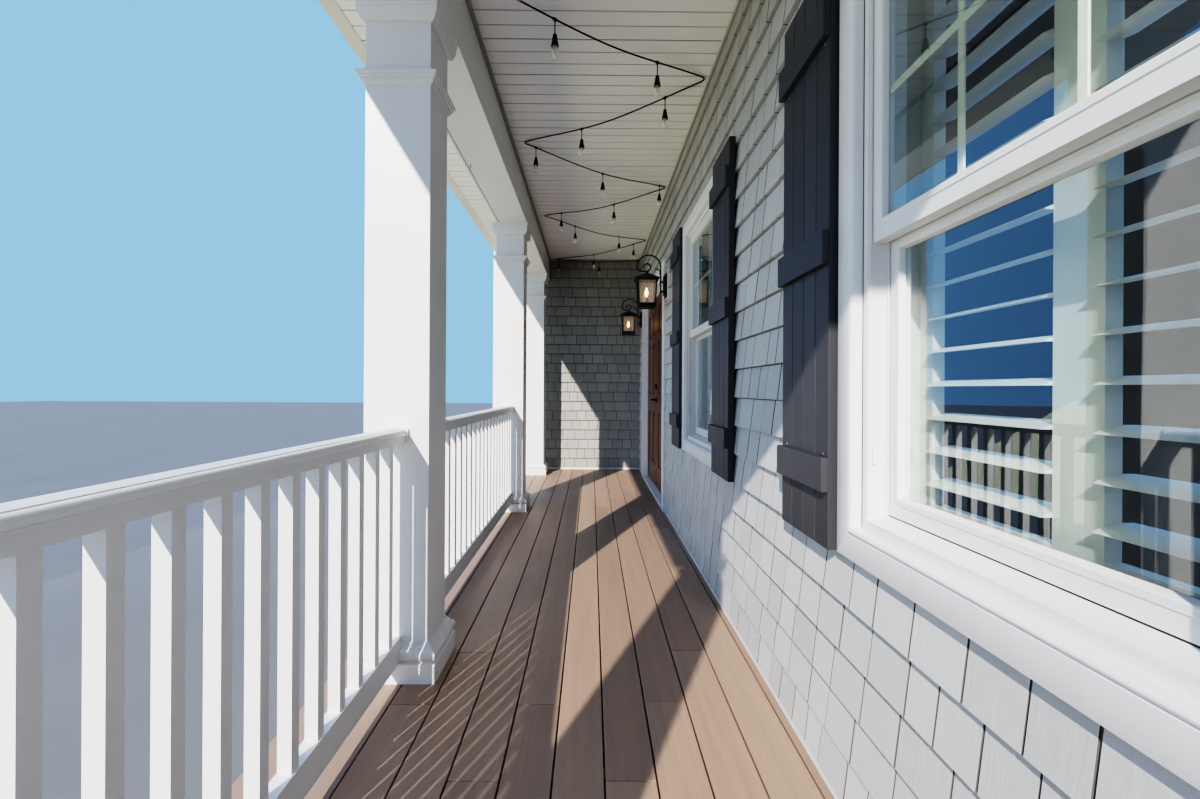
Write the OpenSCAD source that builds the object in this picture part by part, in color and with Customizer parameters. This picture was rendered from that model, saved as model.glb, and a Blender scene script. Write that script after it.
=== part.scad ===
// Covered front porch with its house wall, built piece by piece.
// X runs along the porch from the end wall, -Y faces the street, Z is up from the ground.

/* [Porch plan] */
// Number of bays that have a railing
rail_bays = 2; // [1:1:4]
// Centre distance of the columns in a railing bay
rail_bay = 2890; // [2200:10:3400]
// Centre distance of the columns in the railing bay at the open end
near_bay = 2498; // [2000:2:3400]
// Centre distance of the columns either side of the steps
step_bay = 2140; // [1700:10:2600]
// Centre of the first column from the end wall
first_column = 394; // [250:2:600]
// House wall to the outer edge of the deck
deck_depth = 1627; // [1400:1:2200]
// Deck beyond the outer face of the columns
deck_overhang = 127; // [90:1:200]
// Roof edge to the corner board of the house wall
wall_past_roof = 15; // [5:5:300]

/* [Heights] */
// Number of risers from the ground to the deck
risers = 3; // [2:1:5]
// Height of one riser
riser_h = 178; // [150:1:200]
// Deck to the underside of the beam
beam_under = 2525; // [2300:5:2900]
// Depth of the beam below the ceiling
beam_drop = 300; // [200:5:400]

/* [Deck] */
// Width of a deck board
board_w = 139.5; // [88:0.5:145]
// Gap between deck boards
board_gap = 5; // [3:0.5:8]
// Thickness of a deck board
board_t = 25; // [20:1:32]
// Board edge beyond the skirt and the risers
nosing = 25; // [15:1:35]
// Depth of the joists
joist_h = 184; // [140:1:240]
// Thickness of the joists
joist_t = 38; // [35:1:45]
// Spacing of the joists
joist_pitch = 400; // [300:10:600]
// Width of the girder under the columns
girder_w = 89; // [76:1:140]
// Side of a square pier
pier_w = 240; // [200:5:300]
// Thickness of the skirt boards
skirt_t = 19; // [15:1:25]

/* [Steps] */
// Depth of a step, riser to riser
tread_run = 279; // [260:1:320]
// Column shaft to the side of the steps
step_side_gap = 50; // [40:1:200]
// Thickness of a riser board
riser_t = 19; // [15:1:25]

/* [Columns] */
// Side of the square column shaft
column_w = 241; // [180:1:300]
// How far the base moulding stands out from the shaft
base_out = 36; // [28:1:45]
// Height of the plinth under the base moulding
plinth_h = 65; // [50:1:90]
// Underside of the beam down to the neck moulding's top
neck_drop = 286; // [200:1:340]

/* [Beam and ceiling] */
// Width of the beam
beam_w = 264; // [240:1:320]
// Beam beyond the inner face of the columns
beam_inset = 29; // [0:1:40]
// Thickness of the ceiling and soffit boards
ceiling_t = 13; // [9:1:20]
// Height of the trim strips under the ceiling
trim_h = 30; // [20:1:50]
// Thickness of the trim strips
trim_t = 18; // [12:1:25]

/* [Roof] */
// Rise of the roof for one unit of run
roof_slope = 0.25; // [0.1:0.01:0.5]
// Height of the trusses at the eave
heel_h = 140; // [110:1:220]
// Height of the truss chords
chord_h = 89; // [70:1:95]
// Spacing of the trusses
truss_pitch = 600; // [400:10:700]
// Eave beyond the outer face of the beam
eave_out = 330; // [150:5:400]
// Roof beyond the side beam
gable_out = 628; // [300:2:700]
// Thickness of the fascia boards
fascia_t = 25; // [18:1:30]
// Depth of the moulded gutter board on the fascia
gutter_d = 72; // [60:1:120]
// Thickness of the roof boards
sheathing_t = 15; // [12:1:25]
// Thickness of the shingle layer
shingle_t = 12; // [8:1:20]
// House wall above the top of the roof
wall_over_roof = 60; // [30:5:300]

/* [Railing] */
// Deck to the top of the handrail
rail_h = 929; // [860:1:1070]
// Width of the handrail
rail_w = 86; // [74:1:100]
// Height of the rounded handrail cap
rail_cap_h = 28; // [22:1:34]
// Height of the rail under the cap
under_rail_h = 28; // [22:1:50]
// Width of the rail under the cap
under_rail_w = 70; // [45:1:72]
// Thickness of the brackets at the ends of a handrail
rail_bracket_t = 12; // [8:1:20]
// Side of a square baluster
baluster_w = 34; // [30:1:42]
// Centre distance of the balusters
baluster_pitch = 129; // [110:1:134]
// Deck to the underside of the bottom rail
bottom_rail_z = 70; // [50:1:100]
// Height of the bottom rail
bottom_rail_h = 90; // [40:1:100]
// Width of the bottom rail
bottom_rail_w = 45; // [42:1:60]

/* [House wall] */
// Thickness of the house walls
wall_t = 190; // [180:1:220]
// Thickness of the siding's bottom strip and corner boards
edge_trim_t = 14; // [10:1:20]
// Width of a corner board
corner_w = 90; // [60:1:140]

/* [Windows] */
// Centre of each window from the end wall
window_x = [6725, 4200];
// Width over the casing
window_w = 1070; // [900:10:1200]
// Height over the casing
window_h = 1548; // [1300:2:1700]
// Deck to the bottom of the casing
window_z = 660; // [500:5:900]
// Width of the window and door casing
casing_w = 80; // [60:1:100]
// Thickness of the window and door casing
casing_t = 27; // [20:1:40]
// Width of the window frame, part of it behind the casing
frame_w = 35; // [30:1:50]
// Height of the window frame's sill
sill_h = 47; // [40:1:60]
// Casing overlap on the frames
casing_lap = 12; // [6:1:20]
// Depth of the window frame in the wall
frame_d = 96; // [94:1:110]
// Width of the sash stiles
stile_w = 42; // [35:1:55]
// Thickness of a sash
sash_t = 32; // [28:1:38]
// Depth of the upper sash behind the wall face
sash_y = 11; // [4:1:20]
// Height of the sash rails
sash_rail_h = 46; // [38:1:60]
// Thickness of the glass
glass_t = 6; // [4:1:18]
// Depth of a louver of the inside shutters
louver_d = 70; // [50:1:76]
// Spacing of the louvers
louver_pitch = 76; // [55:1:90]
// Width of the stiles of the inside shutters
louver_stile = 50; // [38:1:60]

/* [Outside shutters] */
// Width of a shutter
shutter_w = 355; // [280:5:420]
// Gap between a shutter and the casing
shutter_gap = 9; // [5:1:20]
// Thickness of the shutter boards
shutter_t = 27; // [20:1:34]
// Thickness of the blocks behind the shutters
shutter_block_t = 19; // [10:1:30]
// Height of a shutter
shutter_h = 1556; // [1300:2:1700]
// Boards in a shutter
shutter_boards = 4; // [3:1:6]
// Height of a batten
batten_h = 90; // [60:1:110]
// Thickness of a batten
batten_t = 18; // [14:1:26]
// Distance of the end battens from the middle one
batten_step = 594; // [400:1:640]

/* [Front doors] */
// Centre of the pair of doors from the end wall
entry_x = 1597; // [1450:1:1800]
// Width of one door
door_w = 904; // [760:2:930]
// Height of the doors
door_h = 2032; // [1980:2:2100]
// Thickness of the doors
door_t = 45; // [40:1:50]
// Outside face of the doors behind the wall face
door_y = 40; // [30:1:60]
// Width of the door casing
door_casing_w = 140; // [90:1:150]
// Thickness of the door jambs
jamb_t = 35; // [30:1:45]
// Running gap round the doors
door_gap = 7; // [6:0.5:10]
// Gap between the two doors
meeting_gap = 9; // [8:0.5:12]
// Height of the threshold above the deck
threshold_h = 25; // [18:1:40]
// Height of the lever handle above the deck
handle_z = 965; // [900:5:1050]

/* [Lanterns] */
// Door casing to the centre of a lantern
lantern_gap = 125; // [115:1:180]
// Top of the doors down to the bottom of a lantern
lantern_drop = 292; // [150:1:400]
// Lantern centre from the wall
lantern_out = 194; // [180:1:220]
// Width of the lantern roof
lantern_w = 206; // [190:2:230]
// Height of the lantern body
cage_h = 241; // [200:1:300]
// Width of the lantern body at the top
cage_high_w = 168; // [140:2:180]
// Width of the lantern body at the bottom
cage_low_w = 150; // [120:2:160]
// Thickness of the mounting blocks
block_t = 24; // [15:1:30]

/* [String lights] */
// Diameter of the cord
cord_d = 8; // [4:0.5:9]
// Distance between the lamps along the cord
lamp_pitch = 615; // [500:5:900]

/* [Hidden] */
eps = 0.01;

deck_z = risers * riser_h;
frame_top = deck_z - board_t;
frame_bottom = frame_top - joist_h;
column_y = deck_depth - deck_overhang - column_w / 2;
column_x = concat([first_column], [for (i = [0 : rail_bays])
  first_column + step_bay + i * rail_bay + (i == rail_bays ? near_bay - rail_bay : 0)]);
last_column = column_x[len(column_x) - 1];
deck_len = last_column + column_w / 2 + deck_overhang;
skirt_y = deck_depth - nosing;
skirt_x = deck_len - nosing;
steps_out = skirt_y + (risers - 1) * tread_run + nosing;
steps_x0 = column_x[0] + column_w / 2 + step_side_gap;
steps_x1 = column_x[1] - column_w / 2 - step_side_gap;

beam_z = deck_z + beam_under;
beam_in = column_y - column_w / 2 - beam_inset;
beam_out = beam_in + beam_w;
side_beam_in = last_column - column_w / 2 - beam_inset;
side_beam_out = side_beam_in + beam_w;
ceiling_z = beam_z + beam_drop;
truss_z = ceiling_z + ceiling_t;
tail_y = beam_out + eave_out;
fascia_y = tail_y + fascia_t;
gutter_y = fascia_y + gutter_d;
roof_x1 = side_beam_out + gable_out;
roof_lap = 15;
house_len = roof_x1 + roof_lap + wall_past_roof + corner_w;
roof_top = truss_z + heel_h + roof_slope * tail_y + sheathing_t + shingle_t;
wall_top = roof_top + wall_over_roof;
end_wall_out = gutter_y + roof_lap + 30;

origin_x = (wall_t - house_len) / 2;
origin_y = (steps_out - wall_t) / 2;

casing_inner_w = window_w - 2 * casing_w;
hole_w = casing_inner_w + 2 * casing_lap;
hole_h = window_h - 2 * casing_w + 2 * casing_lap;
hole_z = deck_z + window_z + casing_w - casing_lap;
clear_w = hole_w - 2 * frame_w;
clear_h = hole_h - frame_w - sill_h;
clear_z = hole_z + sill_h;
sash_gap = 9;
lower_sash_y = sash_y + sash_t + sash_gap;
sash_h = (clear_h + sash_rail_h) / 2 - sash_gap;
louver_y = wall_t - louver_d / 2 - 2;

casing_reveal = 10;
entry_w = 2 * door_w + 2 * door_gap + meeting_gap + 2 * jamb_t;
entry_h = threshold_h + door_h + 2 * door_gap + jamb_t;
entry_x0 = entry_x - entry_w / 2;
entry_x1 = entry_x + entry_w / 2;
entry_z1 = deck_z + entry_h;
door_x0 = entry_x - meeting_gap / 2 - door_w;
door_z0 = deck_z + threshold_h + door_gap;
hinge_r = door_gap - 0.3;
hinge_y = door_y + door_t + hinge_r;
stop_t = 12;
stop_y = door_y - 6;

window_mid_z = deck_z + window_z + window_h / 2;

module in_frame() translate([origin_x, origin_y, 0]) children();

module span(x, y, z) {
  translate([x[0], y[0], z[0]]) cube([x[1] - x[0], y[1] - y[0], z[1] - z[0]]);
}

// Extrudes a profile drawn in Y and Z along X.
module along_x(x0, x1) translate([x0, 0, 0]) rotate([90, 0, 90]) linear_extrude(x1 - x0) children();

// Extrudes a profile drawn in X and Z along Y.
module along_y(y0, y1) translate([0, y1, 0]) rotate([90, 0, 0]) linear_extrude(y1 - y0) children();

module bar_ring(x, z, y, side, top, bottom) {
  difference() {
    span(x, y, z);
    span([x[0] + side, x[1] - side], [y[0] - 1, y[1] + 1], [z[0] + bottom, z[1] - top]);
  }
}

// Mitred moulding round a square post: points are [how far out, height].
module post_moulding(w, points) {
  outline = concat([for (p = points) [w / 2 + p[0], p[1]]],
    [for (i = [len(points) - 1 : -1 : 0]) [-w / 2 - points[i][0], points[i][1]]]);
  low = points[0][1];
  high = points[len(points) - 1][1];
  reach = w + 200;
  difference() {
    intersection() {
      rotate([90, 0, 0]) linear_extrude(reach, center = true) polygon(outline);
      rotate([90, 0, 90]) linear_extrude(reach, center = true) polygon(outline);
    }
    translate([-w / 2, -w / 2, low - 1]) cube([w, w, high - low + 2]);
  }
}

module at_columns(z) {
  for (x = column_x) translate([x, -column_y, z]) children();
}

module house_foundation() color("darkgray") in_frame() {
  span([-wall_t, house_len], [0, wall_t], [0, frame_bottom]);
  span([-wall_t, 0], [-end_wall_out, eps], [0, frame_bottom]);
}

module porch_piers() color("darkgray") in_frame() at_columns(0) {
  translate([-pier_w / 2, -pier_w / 2, 0]) cube([pier_w, pier_w, frame_bottom]);
}

rim_y = skirt_y - skirt_t;
rim_x = skirt_x - skirt_t;

module floor_frame() color("burlywood") in_frame() {
  z = [frame_bottom, frame_top];
  span([0, rim_x], [-rim_y, -rim_y + joist_t], z);
  span([0, rim_x], [-joist_t, 0], z);
  span([0, rim_x], [-column_y - girder_w / 2, -column_y + girder_w / 2], z);
  span([rim_x - joist_t, rim_x], [-rim_y, 0], z);
  for (x = [0 : joist_pitch : rim_x - joist_pitch / 3]) span([x, x + joist_t], [-rim_y, 0], z);
}

module porch_skirt() color("white") in_frame() {
  span([0, skirt_x], [-skirt_y, -rim_y], [0, frame_top]);
  span([rim_x, skirt_x], [-skirt_y, 0], [0, frame_top]);
}

board_step = board_w + board_gap;
board_count = floor((deck_depth - board_gap) / board_step);
wall_strip_w = deck_depth - board_count * board_step - board_gap;

module deck_boards() color("rosybrown") in_frame() {
  z = [frame_top, deck_z];
  for (i = [0 : board_count - 1]) {
    outer = -deck_depth + i * board_step;
    span([0, deck_len], [outer, outer + board_w], z);
  }
  if (wall_strip_w > 5) span([0, deck_len], [-wall_strip_w - board_gap, -board_gap], z);
}

function riser_y(k) = -(skirt_y + (risers - k) * tread_run);

module step_frame() color("white") in_frame() {
  side = concat([[-skirt_y, 0]], [for (k = [risers - 1 : -1 : 1], low = [0, 1])
    [low == 0 ? (k == risers - 1 ? -skirt_y : riser_y(k + 1) + riser_t) : riser_y(k) + riser_t,
    k * riser_h - board_t]], [[riser_y(1) + riser_t, 0]]);
  middle = (steps_x0 + steps_x1 - joist_t) / 2;
  for (x = [steps_x0, middle, steps_x1 - joist_t]) along_x(x, x + joist_t) polygon(side);
  for (k = [1 : risers - 1]) span([steps_x0, steps_x1], [riser_y(k), riser_y(k) + riser_t + 1],
    [(k - 1) * riser_h - (k > 1 ? board_t : 0), k * riser_h - board_t]);
}

module step_treads() color("rosybrown") in_frame() {
  half = (tread_run + nosing - board_gap) / 2;
  for (k = [1 : risers - 1], i = [0, 1]) {
    front = riser_y(k) - nosing + i * (half + board_gap);
    span([steps_x0 - nosing, steps_x1 + nosing], [front, front + half],
      [k * riser_h - board_t, k * riser_h]);
  }
}

module column_shafts() color("white") in_frame() at_columns(deck_z) {
  translate([-column_w / 2, -column_w / 2, 0]) cube([column_w, column_w, beam_under]);
}

// Base: plinth, narrow cove, round torus and three fillets.
torus_r = 22;
torus_z = plinth_h + 31;
base_points = concat([[base_out, 0], [base_out, plinth_h], [base_out - 3, plinth_h + 5],
  [base_out - 10, plinth_h + 8]],
  [for (a = [-70 : 14 : 70]) [base_out - torus_r + torus_r * cos(a), torus_z + torus_r * sin(a)]],
  [[base_out - 18, plinth_h + 55], [base_out - 18, plinth_h + 60], [12, plinth_h + 61],
  [12, plinth_h + 67], [6, plinth_h + 68], [6, plinth_h + 75]]);

module column_bases() color("white") in_frame() at_columns(deck_z) post_moulding(column_w, base_points);

module column_necks() color("white") in_frame() at_columns(beam_z - neck_drop) {
  post_moulding(column_w, [[2, -46], [8, -38], [13, -34], [13, -25], [20, -23],
    [20, -14], [27, -12], [27, 0]]);
}

capital_h = 100;
capital_out = 36;

// Capital: quarter round, fillet, band and cap.
module column_capitals() color("white") in_frame() at_columns(beam_z - capital_h) {
  round_h = 56;
  round_out = capital_out - 10;
  points = concat([for (a = [0 : 10 : 90]) [2 + round_out * sin(a), round_h * (1 - cos(a))]],
    [[capital_out - 5, round_h + 3], [capital_out - 5, round_h + 20],
    [capital_out, round_h + 24], [capital_out, capital_h]]);
  post_moulding(column_w, points);
}

module front_beam() color("white") in_frame() {
  span([0, side_beam_out], [-beam_out, -beam_in], [beam_z, truss_z]);
}

module side_beam() color("white") in_frame() {
  span([side_beam_in, side_beam_out], [-beam_in, 0], [beam_z, truss_z]);
}

module porch_ceiling() color("ivory") in_frame() {
  span([0, side_beam_in], [-beam_in, 0], [ceiling_z, truss_z]);
}

module ceiling_trim() color("white") in_frame() {
  z = [ceiling_z - trim_h, ceiling_z];
  span([0, side_beam_in], [-trim_t, 0], z);
  span([0, side_beam_in], [-beam_in, -beam_in + trim_t], z);
  span([0, trim_t], [-beam_in, 0], z);
  span([side_beam_in - trim_t, side_beam_in], [-beam_in, 0], z);
}

module eave_soffit() color("ivory") in_frame() {
  span([0, roof_x1 - fascia_t], [-tail_y, -beam_out], [ceiling_z, truss_z]);
  span([side_beam_out, roof_x1 - fascia_t], [-beam_out - eps, 0], [ceiling_z, truss_z]);
}

function roof_z(y) = truss_z + heel_h + roof_slope * (tail_y - y);

module fascia_boards() color("ivory") in_frame() {
  drop = 10;
  top = truss_z + heel_h;
  bottom = ceiling_z - drop;
  along_x(0, roof_x1) polygon([[-tail_y, bottom], [-tail_y, top], [-fascia_y, top - roof_slope * fascia_t],
    [-gutter_y + 6, top - roof_slope * fascia_t - 8], [-gutter_y, top - 20], [-gutter_y + 2, top - 34],
    [-gutter_y + 18, top - 62], [-gutter_y + 26, top - 92], [-gutter_y + 27, bottom + 20],
    [-gutter_y + 24, bottom], [-fascia_y, bottom]]);
  along_x(roof_x1 - fascia_t, roof_x1) polygon([[-tail_y, bottom], [0, bottom], [0, roof_z(0)],
    [-tail_y, roof_z(tail_y)]]);
}

module roof_trusses() color("burlywood") in_frame() {
  last = side_beam_out - joist_t;
  count = floor((last - truss_pitch / 3) / truss_pitch);
  outer = roof_x1 - fascia_t - joist_t;
  for (x = concat([for (i = [0 : count]) i * truss_pitch], [last, outer])) along_x(x, x + joist_t) {
    difference() {
      polygon([[-tail_y, truss_z], [0, truss_z], [0, roof_z(0)], [-tail_y, roof_z(tail_y)]]);
      inner_low = truss_z + chord_h;
      inner_out = tail_y - (2 * chord_h - heel_h + 30) / roof_slope;
      polygon([[-inner_out, inner_low], [-chord_h, inner_low], [-chord_h, roof_z(chord_h) - chord_h],
        [-inner_out, roof_z(inner_out) - chord_h]]);
    }
  }
}

module roof_boards() color("tan") in_frame() {
  along_x(0, roof_x1) polygon([[-fascia_y, roof_z(fascia_y)], [0, roof_z(0)],
    [0, roof_z(0) + sheathing_t], [-fascia_y, roof_z(fascia_y) + sheathing_t]]);
}

module roof_shingles() color("dimgray") in_frame() {
  low = fascia_y + roof_lap;
  along_x(0, roof_x1 + roof_lap) polygon([[-low, roof_z(low) + sheathing_t], [0, roof_z(0) + sheathing_t],
    [0, roof_z(0) + sheathing_t + shingle_t], [-low, roof_z(low) + sheathing_t + shingle_t]]);
}

module gable_panel() color("lightgray") in_frame() {
  along_x(side_beam_out, side_beam_out + ceiling_t) polygon([[-beam_out, truss_z], [0, truss_z],
    [0, roof_z(0)], [-beam_out, roof_z(beam_out)]]);
}

rail_z = deck_z + rail_h;
under_rail_z = rail_z - rail_cap_h - under_rail_h;

// Least distance from a post to the centre of the first baluster
baluster_end = 55;

// One railing panel between two posts, from 0 to len along X, centred on Y. Its balusters are
// evenly spaced from the middle, and the bottom rail is coped over the base mouldings of the
// posts, whose centres are given.
module railing_panel(len, posts) {
  count = floor((len - 2 * baluster_end) / baluster_pitch);
  first = (len - count * baluster_pitch) / 2;
  low = deck_z + bottom_rail_z;
  difference() {
    span([0, len], [-bottom_rail_w / 2, bottom_rail_w / 2], [low, low + bottom_rail_h]);
    for (x = posts) translate([x, 0, deck_z]) post_moulding(column_w, base_points);
  }
  span([rail_bracket_t, len - rail_bracket_t], [-under_rail_w / 2, under_rail_w / 2],
    [under_rail_z, rail_z - rail_cap_h]);
  for (i = [0 : count]) translate([first + i * baluster_pitch - baluster_w / 2, -baluster_w / 2, low])
    cube([baluster_w, baluster_w, under_rail_z - low + 1]);
}

// Half of the handrail cap: lip, side, round shoulder, groove and crown, as [out, up].
function cap_half(w, h) = concat([[w, 0], [w, 4], [w - 2, 5], [w - 2, h - 15]],
  [for (a = [15 : 15 : 75]) [w - 12 + 10 * cos(a), h - 15 + 10 * sin(a)]],
  [[w - 16, h - 5], [w - 17, h - 3], [w - 28, h - 1], [0, h]]);

// Handrail cap over one panel.
module rail_cap(len) {
  half = cap_half(rail_w / 2, rail_cap_h);
  outline = concat(half, [for (i = [len(half) - 2 : -1 : 0]) [-half[i][0], half[i][1]]]);
  translate([0, 0, rail_z - rail_cap_h]) along_x(rail_bracket_t, len - rail_bracket_t) polygon(outline);
}

// Rounded bracket that joins the end of a handrail to a post or the wall.
module rail_bracket(x0) {
  half = rail_w / 2 + 4;
  round_r = 14;
  along_x(x0, x0 + rail_bracket_t) hull() {
    for (y = [-half + round_r, half - round_r]) {
      translate([y, rail_z + 3 - round_r]) circle(round_r);
      translate([y * 0.85, under_rail_z - 3 + round_r]) circle(round_r);
    }
  }
}

module rail_bay_place(i) translate([column_x[i] + column_w / 2, -column_y, 0]) children();
module side_rail_place() translate([last_column, -column_y + column_w / 2, 0]) rotate([0, 0, 90]) children();
function bay_clear(i) = (i == rail_bays ? near_bay : rail_bay) - column_w;
function bay_posts(i) = [-column_w / 2, bay_clear(i) + column_w / 2];
side_clear = column_y - column_w / 2;

module near_railing() color("white") in_frame() {
  rail_bay_place(rail_bays) railing_panel(bay_clear(rail_bays), bay_posts(rail_bays));
}

module far_railing() color("white") in_frame() {
  for (i = [1 : rail_bays - 1]) rail_bay_place(i) railing_panel(bay_clear(i), bay_posts(i));
}

module side_railing() color("white") in_frame() side_rail_place()
  railing_panel(side_clear, [-column_w / 2]);

module handrails() color("white") in_frame() {
  for (i = [1 : rail_bays]) rail_bay_place(i) rail_cap(bay_clear(i));
  side_rail_place() rail_cap(side_clear);
}

module rail_brackets() color("white") in_frame() {
  for (i = [1 : rail_bays], x = [0, bay_clear(i) - rail_bracket_t]) rail_bay_place(i) rail_bracket(x);
  for (x = [0, side_clear - rail_bracket_t]) side_rail_place() rail_bracket(x);
}

module front_wall() color("silver") in_frame() difference() {
  span([entry_x1, house_len], [0, wall_t], [frame_bottom, wall_top]);
  for (x = window_x) span([x - hole_w / 2, x + hole_w / 2], [-1, wall_t + 1], [hole_z, hole_z + hole_h]);
}

module wall_over_entry() color("silver") in_frame() {
  span([entry_x0, entry_x1], [0, wall_t], [entry_z1, wall_top]);
  span([entry_x0, entry_x1], [0, wall_t], [frame_bottom, deck_z]);
}

module wall_by_entry() color("silver") in_frame() {
  span([-wall_t, entry_x0], [0, wall_t], [frame_bottom, wall_top]);
}

module end_wall() color("silver") in_frame() {
  span([-wall_t, 0], [-end_wall_out, 0], [frame_bottom, wall_top]);
}

module wall_edge_trim() color("white") in_frame() {
  t = edge_trim_t;
  span([house_len - corner_w, house_len], [-t, 0], [frame_bottom, wall_top]);
  span([-wall_t, 0], [-end_wall_out - t, -end_wall_out], [frame_bottom, wall_top]);
  span([0, t], [-end_wall_out - t, -end_wall_out + corner_w], [frame_bottom, ceiling_z - trim_h]);
}

module at_windows() {
  for (x = window_x) translate([x, 0, 0]) children();
}

module window_casings() color("white") in_frame() at_windows() {
  bar_ring([-window_w / 2, window_w / 2], [deck_z + window_z, deck_z + window_z + window_h],
    [-casing_t, 0], casing_w, casing_w, casing_w);
}

module window_frames() color("white") in_frame() at_windows() {
  sill_fall = 12;
  bar_ring([-hole_w / 2, hole_w / 2], [hole_z, hole_z + hole_h], [0, frame_d],
    frame_w, frame_w, sill_h - sill_fall);
  along_x(-clear_w / 2 - 1, clear_w / 2 + 1) polygon([[4, clear_z - sill_fall - 1], [4, clear_z - sill_fall],
    [lower_sash_y, clear_z], [frame_d, clear_z], [frame_d, clear_z - sill_fall - 1]]);
}

module sash(y, z, bottom) {
  bar_ring([-clear_w / 2, clear_w / 2], [z, z + sash_h + bottom - sash_rail_h], [y, y + sash_t],
    stile_w, sash_rail_h, bottom);
}

upper_sash_z = clear_z + clear_h - sash_h;

module window_sashes() color("white") in_frame() at_windows() {
  sash(sash_y, upper_sash_z, sash_rail_h);
  sash(lower_sash_y, clear_z, sash_rail_h);
}

module pane(y, z0, z1) {
  middle = y + sash_t / 2;
  span([-clear_w / 2 + stile_w, clear_w / 2 - stile_w], [middle - glass_t / 2, middle + glass_t / 2], [z0, z1]);
}

module window_glass() color("lightblue", 0.4) in_frame() at_windows() {
  pane(sash_y, upper_sash_z + sash_rail_h, upper_sash_z + sash_h - sash_rail_h);
  pane(lower_sash_y, clear_z + sash_rail_h,
    clear_z + sash_h - sash_rail_h);
}

louver_tilt = 12;
louver_t = 9;

module inside_shutters() color("white") in_frame() at_windows() {
  lining = 22;
  panel_t = 28;
  bar_ring([-hole_w / 2, hole_w / 2], [hole_z, hole_z + hole_h], [frame_d, wall_t], lining, lining, lining);
  low = hole_z + lining;
  high = hole_z + hole_h - lining;
  half = hole_w / 2 - lining;
  y = [louver_y - panel_t / 2, louver_y + panel_t / 2];
  rail = 60;
  count = floor((high - low - 2 * rail - 10) / louver_pitch);
  first = (low + high - (count - 1) * louver_pitch) / 2;
  for (x0 = [-half, 0]) {
    bar_ring([x0, x0 + half], [low, high], y, louver_stile, rail, rail);
    for (i = [0 : count - 1]) translate([x0 + louver_stile - 1, louver_y, first + i * louver_pitch])
      rotate([louver_tilt, 0, 0]) rotate([90, 0, 90]) linear_extrude(half - 2 * louver_stile + 2)
      polygon([[-louver_d / 2, 0], [-louver_d / 4, louver_t / 2.5], [0, louver_t / 2],
        [louver_d / 4, louver_t / 2.5], [louver_d / 2, 0], [louver_d / 4, -louver_t / 2.5],
        [0, -louver_t / 2], [-louver_d / 4, -louver_t / 2.5]]);
  }
}

// Board shutter with three battens, its lower left corner at x0, held off the wall by blocks behind
// the battens.
module shutter(x0) {
  groove = 6;
  board = (shutter_w - (shutter_boards - 1) * groove) / shutter_boards;
  z = [window_mid_z - shutter_h / 2 + 4, window_mid_z + shutter_h / 2 + 4];
  face = shutter_block_t + shutter_t;
  difference() {
    span([x0, x0 + shutter_w], [-face, -shutter_block_t], z);
    for (i = [1 : shutter_boards - 1]) span([x0 + i * (board + groove) - groove, x0 + i * (board + groove)],
      [-face - 1, -face + 8], [z[0] - 1, z[1] + 1]);
  }
  for (i = [-1 : 1]) {
    middle = window_mid_z + 14 + i * batten_step;
    span([x0, x0 + shutter_w], [-face - batten_t, -face + eps], [middle - batten_h / 2, middle + batten_h / 2]);
    span([x0 + 40, x0 + shutter_w - 40], [-shutter_block_t - eps, 0], [middle - batten_h / 3, middle + batten_h / 3]);
  }
}

module shutter_pair(x) {
  shutter(x - window_w / 2 - shutter_gap - shutter_w);
  shutter(x + window_w / 2 + shutter_gap);
}

module near_shutters() color("dimgray") in_frame() shutter_pair(window_x[0]);
module far_shutters() color("dimgray") in_frame() shutter_pair(window_x[1]);

module entry_frame() color("white") in_frame() {
  x = [entry_x0 + jamb_t, entry_x1 - jamb_t];
  high = entry_z1 - jamb_t;
  reveal = casing_reveal;
  difference() {
    span([x[0] - reveal - door_casing_w, x[1] + reveal + door_casing_w], [-casing_t, 0],
      [deck_z, high + reveal + door_casing_w]);
    span([x[0] - reveal, x[1] + reveal], [-casing_t - 1, 1], [deck_z - 1, high + reveal]);
  }
  difference() {
    span([entry_x0, entry_x1], [-eps, wall_t], [deck_z, entry_z1]);
    span(x, [-1, wall_t + 1], [deck_z - 1, high]);
  }
  difference() {
    span([x[0] - eps, x[1] + eps], [stop_y - stop_t, stop_y], [deck_z, high + eps]);
    span([x[0] + stop_t, x[1] - stop_t], [0, wall_t], [deck_z - 1, high - stop_t]);
  }
  span([x[0] - eps, x[1] + eps], [-casing_t, wall_t], [deck_z, deck_z + threshold_h]);
}

// One door with its hinges, drawn with the hinge edge at X = 0.
module door_leaf() {
  stile = 115;
  panel_w = (door_w - 3 * stile) / 2;
  heights = [[230, 560], [980, 560], [1640, 260]];
  difference() {
    span([0, door_w], [door_y, door_y + door_t], [0, door_h]);
    for (p = heights, i = [0, 1], face = [0, 1]) {
      x = stile + i * (panel_w + stile);
      y = face == 0 ? door_y - 1 : door_y + door_t - 9;
      span([x, x + panel_w], [y, y + 10], [p[0], p[0] + p[1]]);
    }
  }
  for (p = heights, i = [0, 1], face = [0, 1]) {
    x = stile + i * (panel_w + stile);
    y = face == 0 ? door_y + 3 : door_y + door_t - 10;
    span([x + 28, x + panel_w - 28], [y, y + 7], [p[0] + 28, p[0] + p[1] - 28]);
  }
  for (z = [180, door_h / 2, door_h - 180]) translate([0, hinge_y, z - 50]) {
    cylinder(h = 100, r = hinge_r);
    translate([0, -hinge_r, 0]) cube([30, hinge_r - 2, 100]);
  }
}

module far_door() color("saddlebrown") in_frame() translate([door_x0, 0, door_z0]) door_leaf();

module near_door() color("saddlebrown") in_frame()
  translate([entry_x + meeting_gap / 2 + door_w, 0, door_z0]) scale([-1, 1, 1]) door_leaf();

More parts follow.
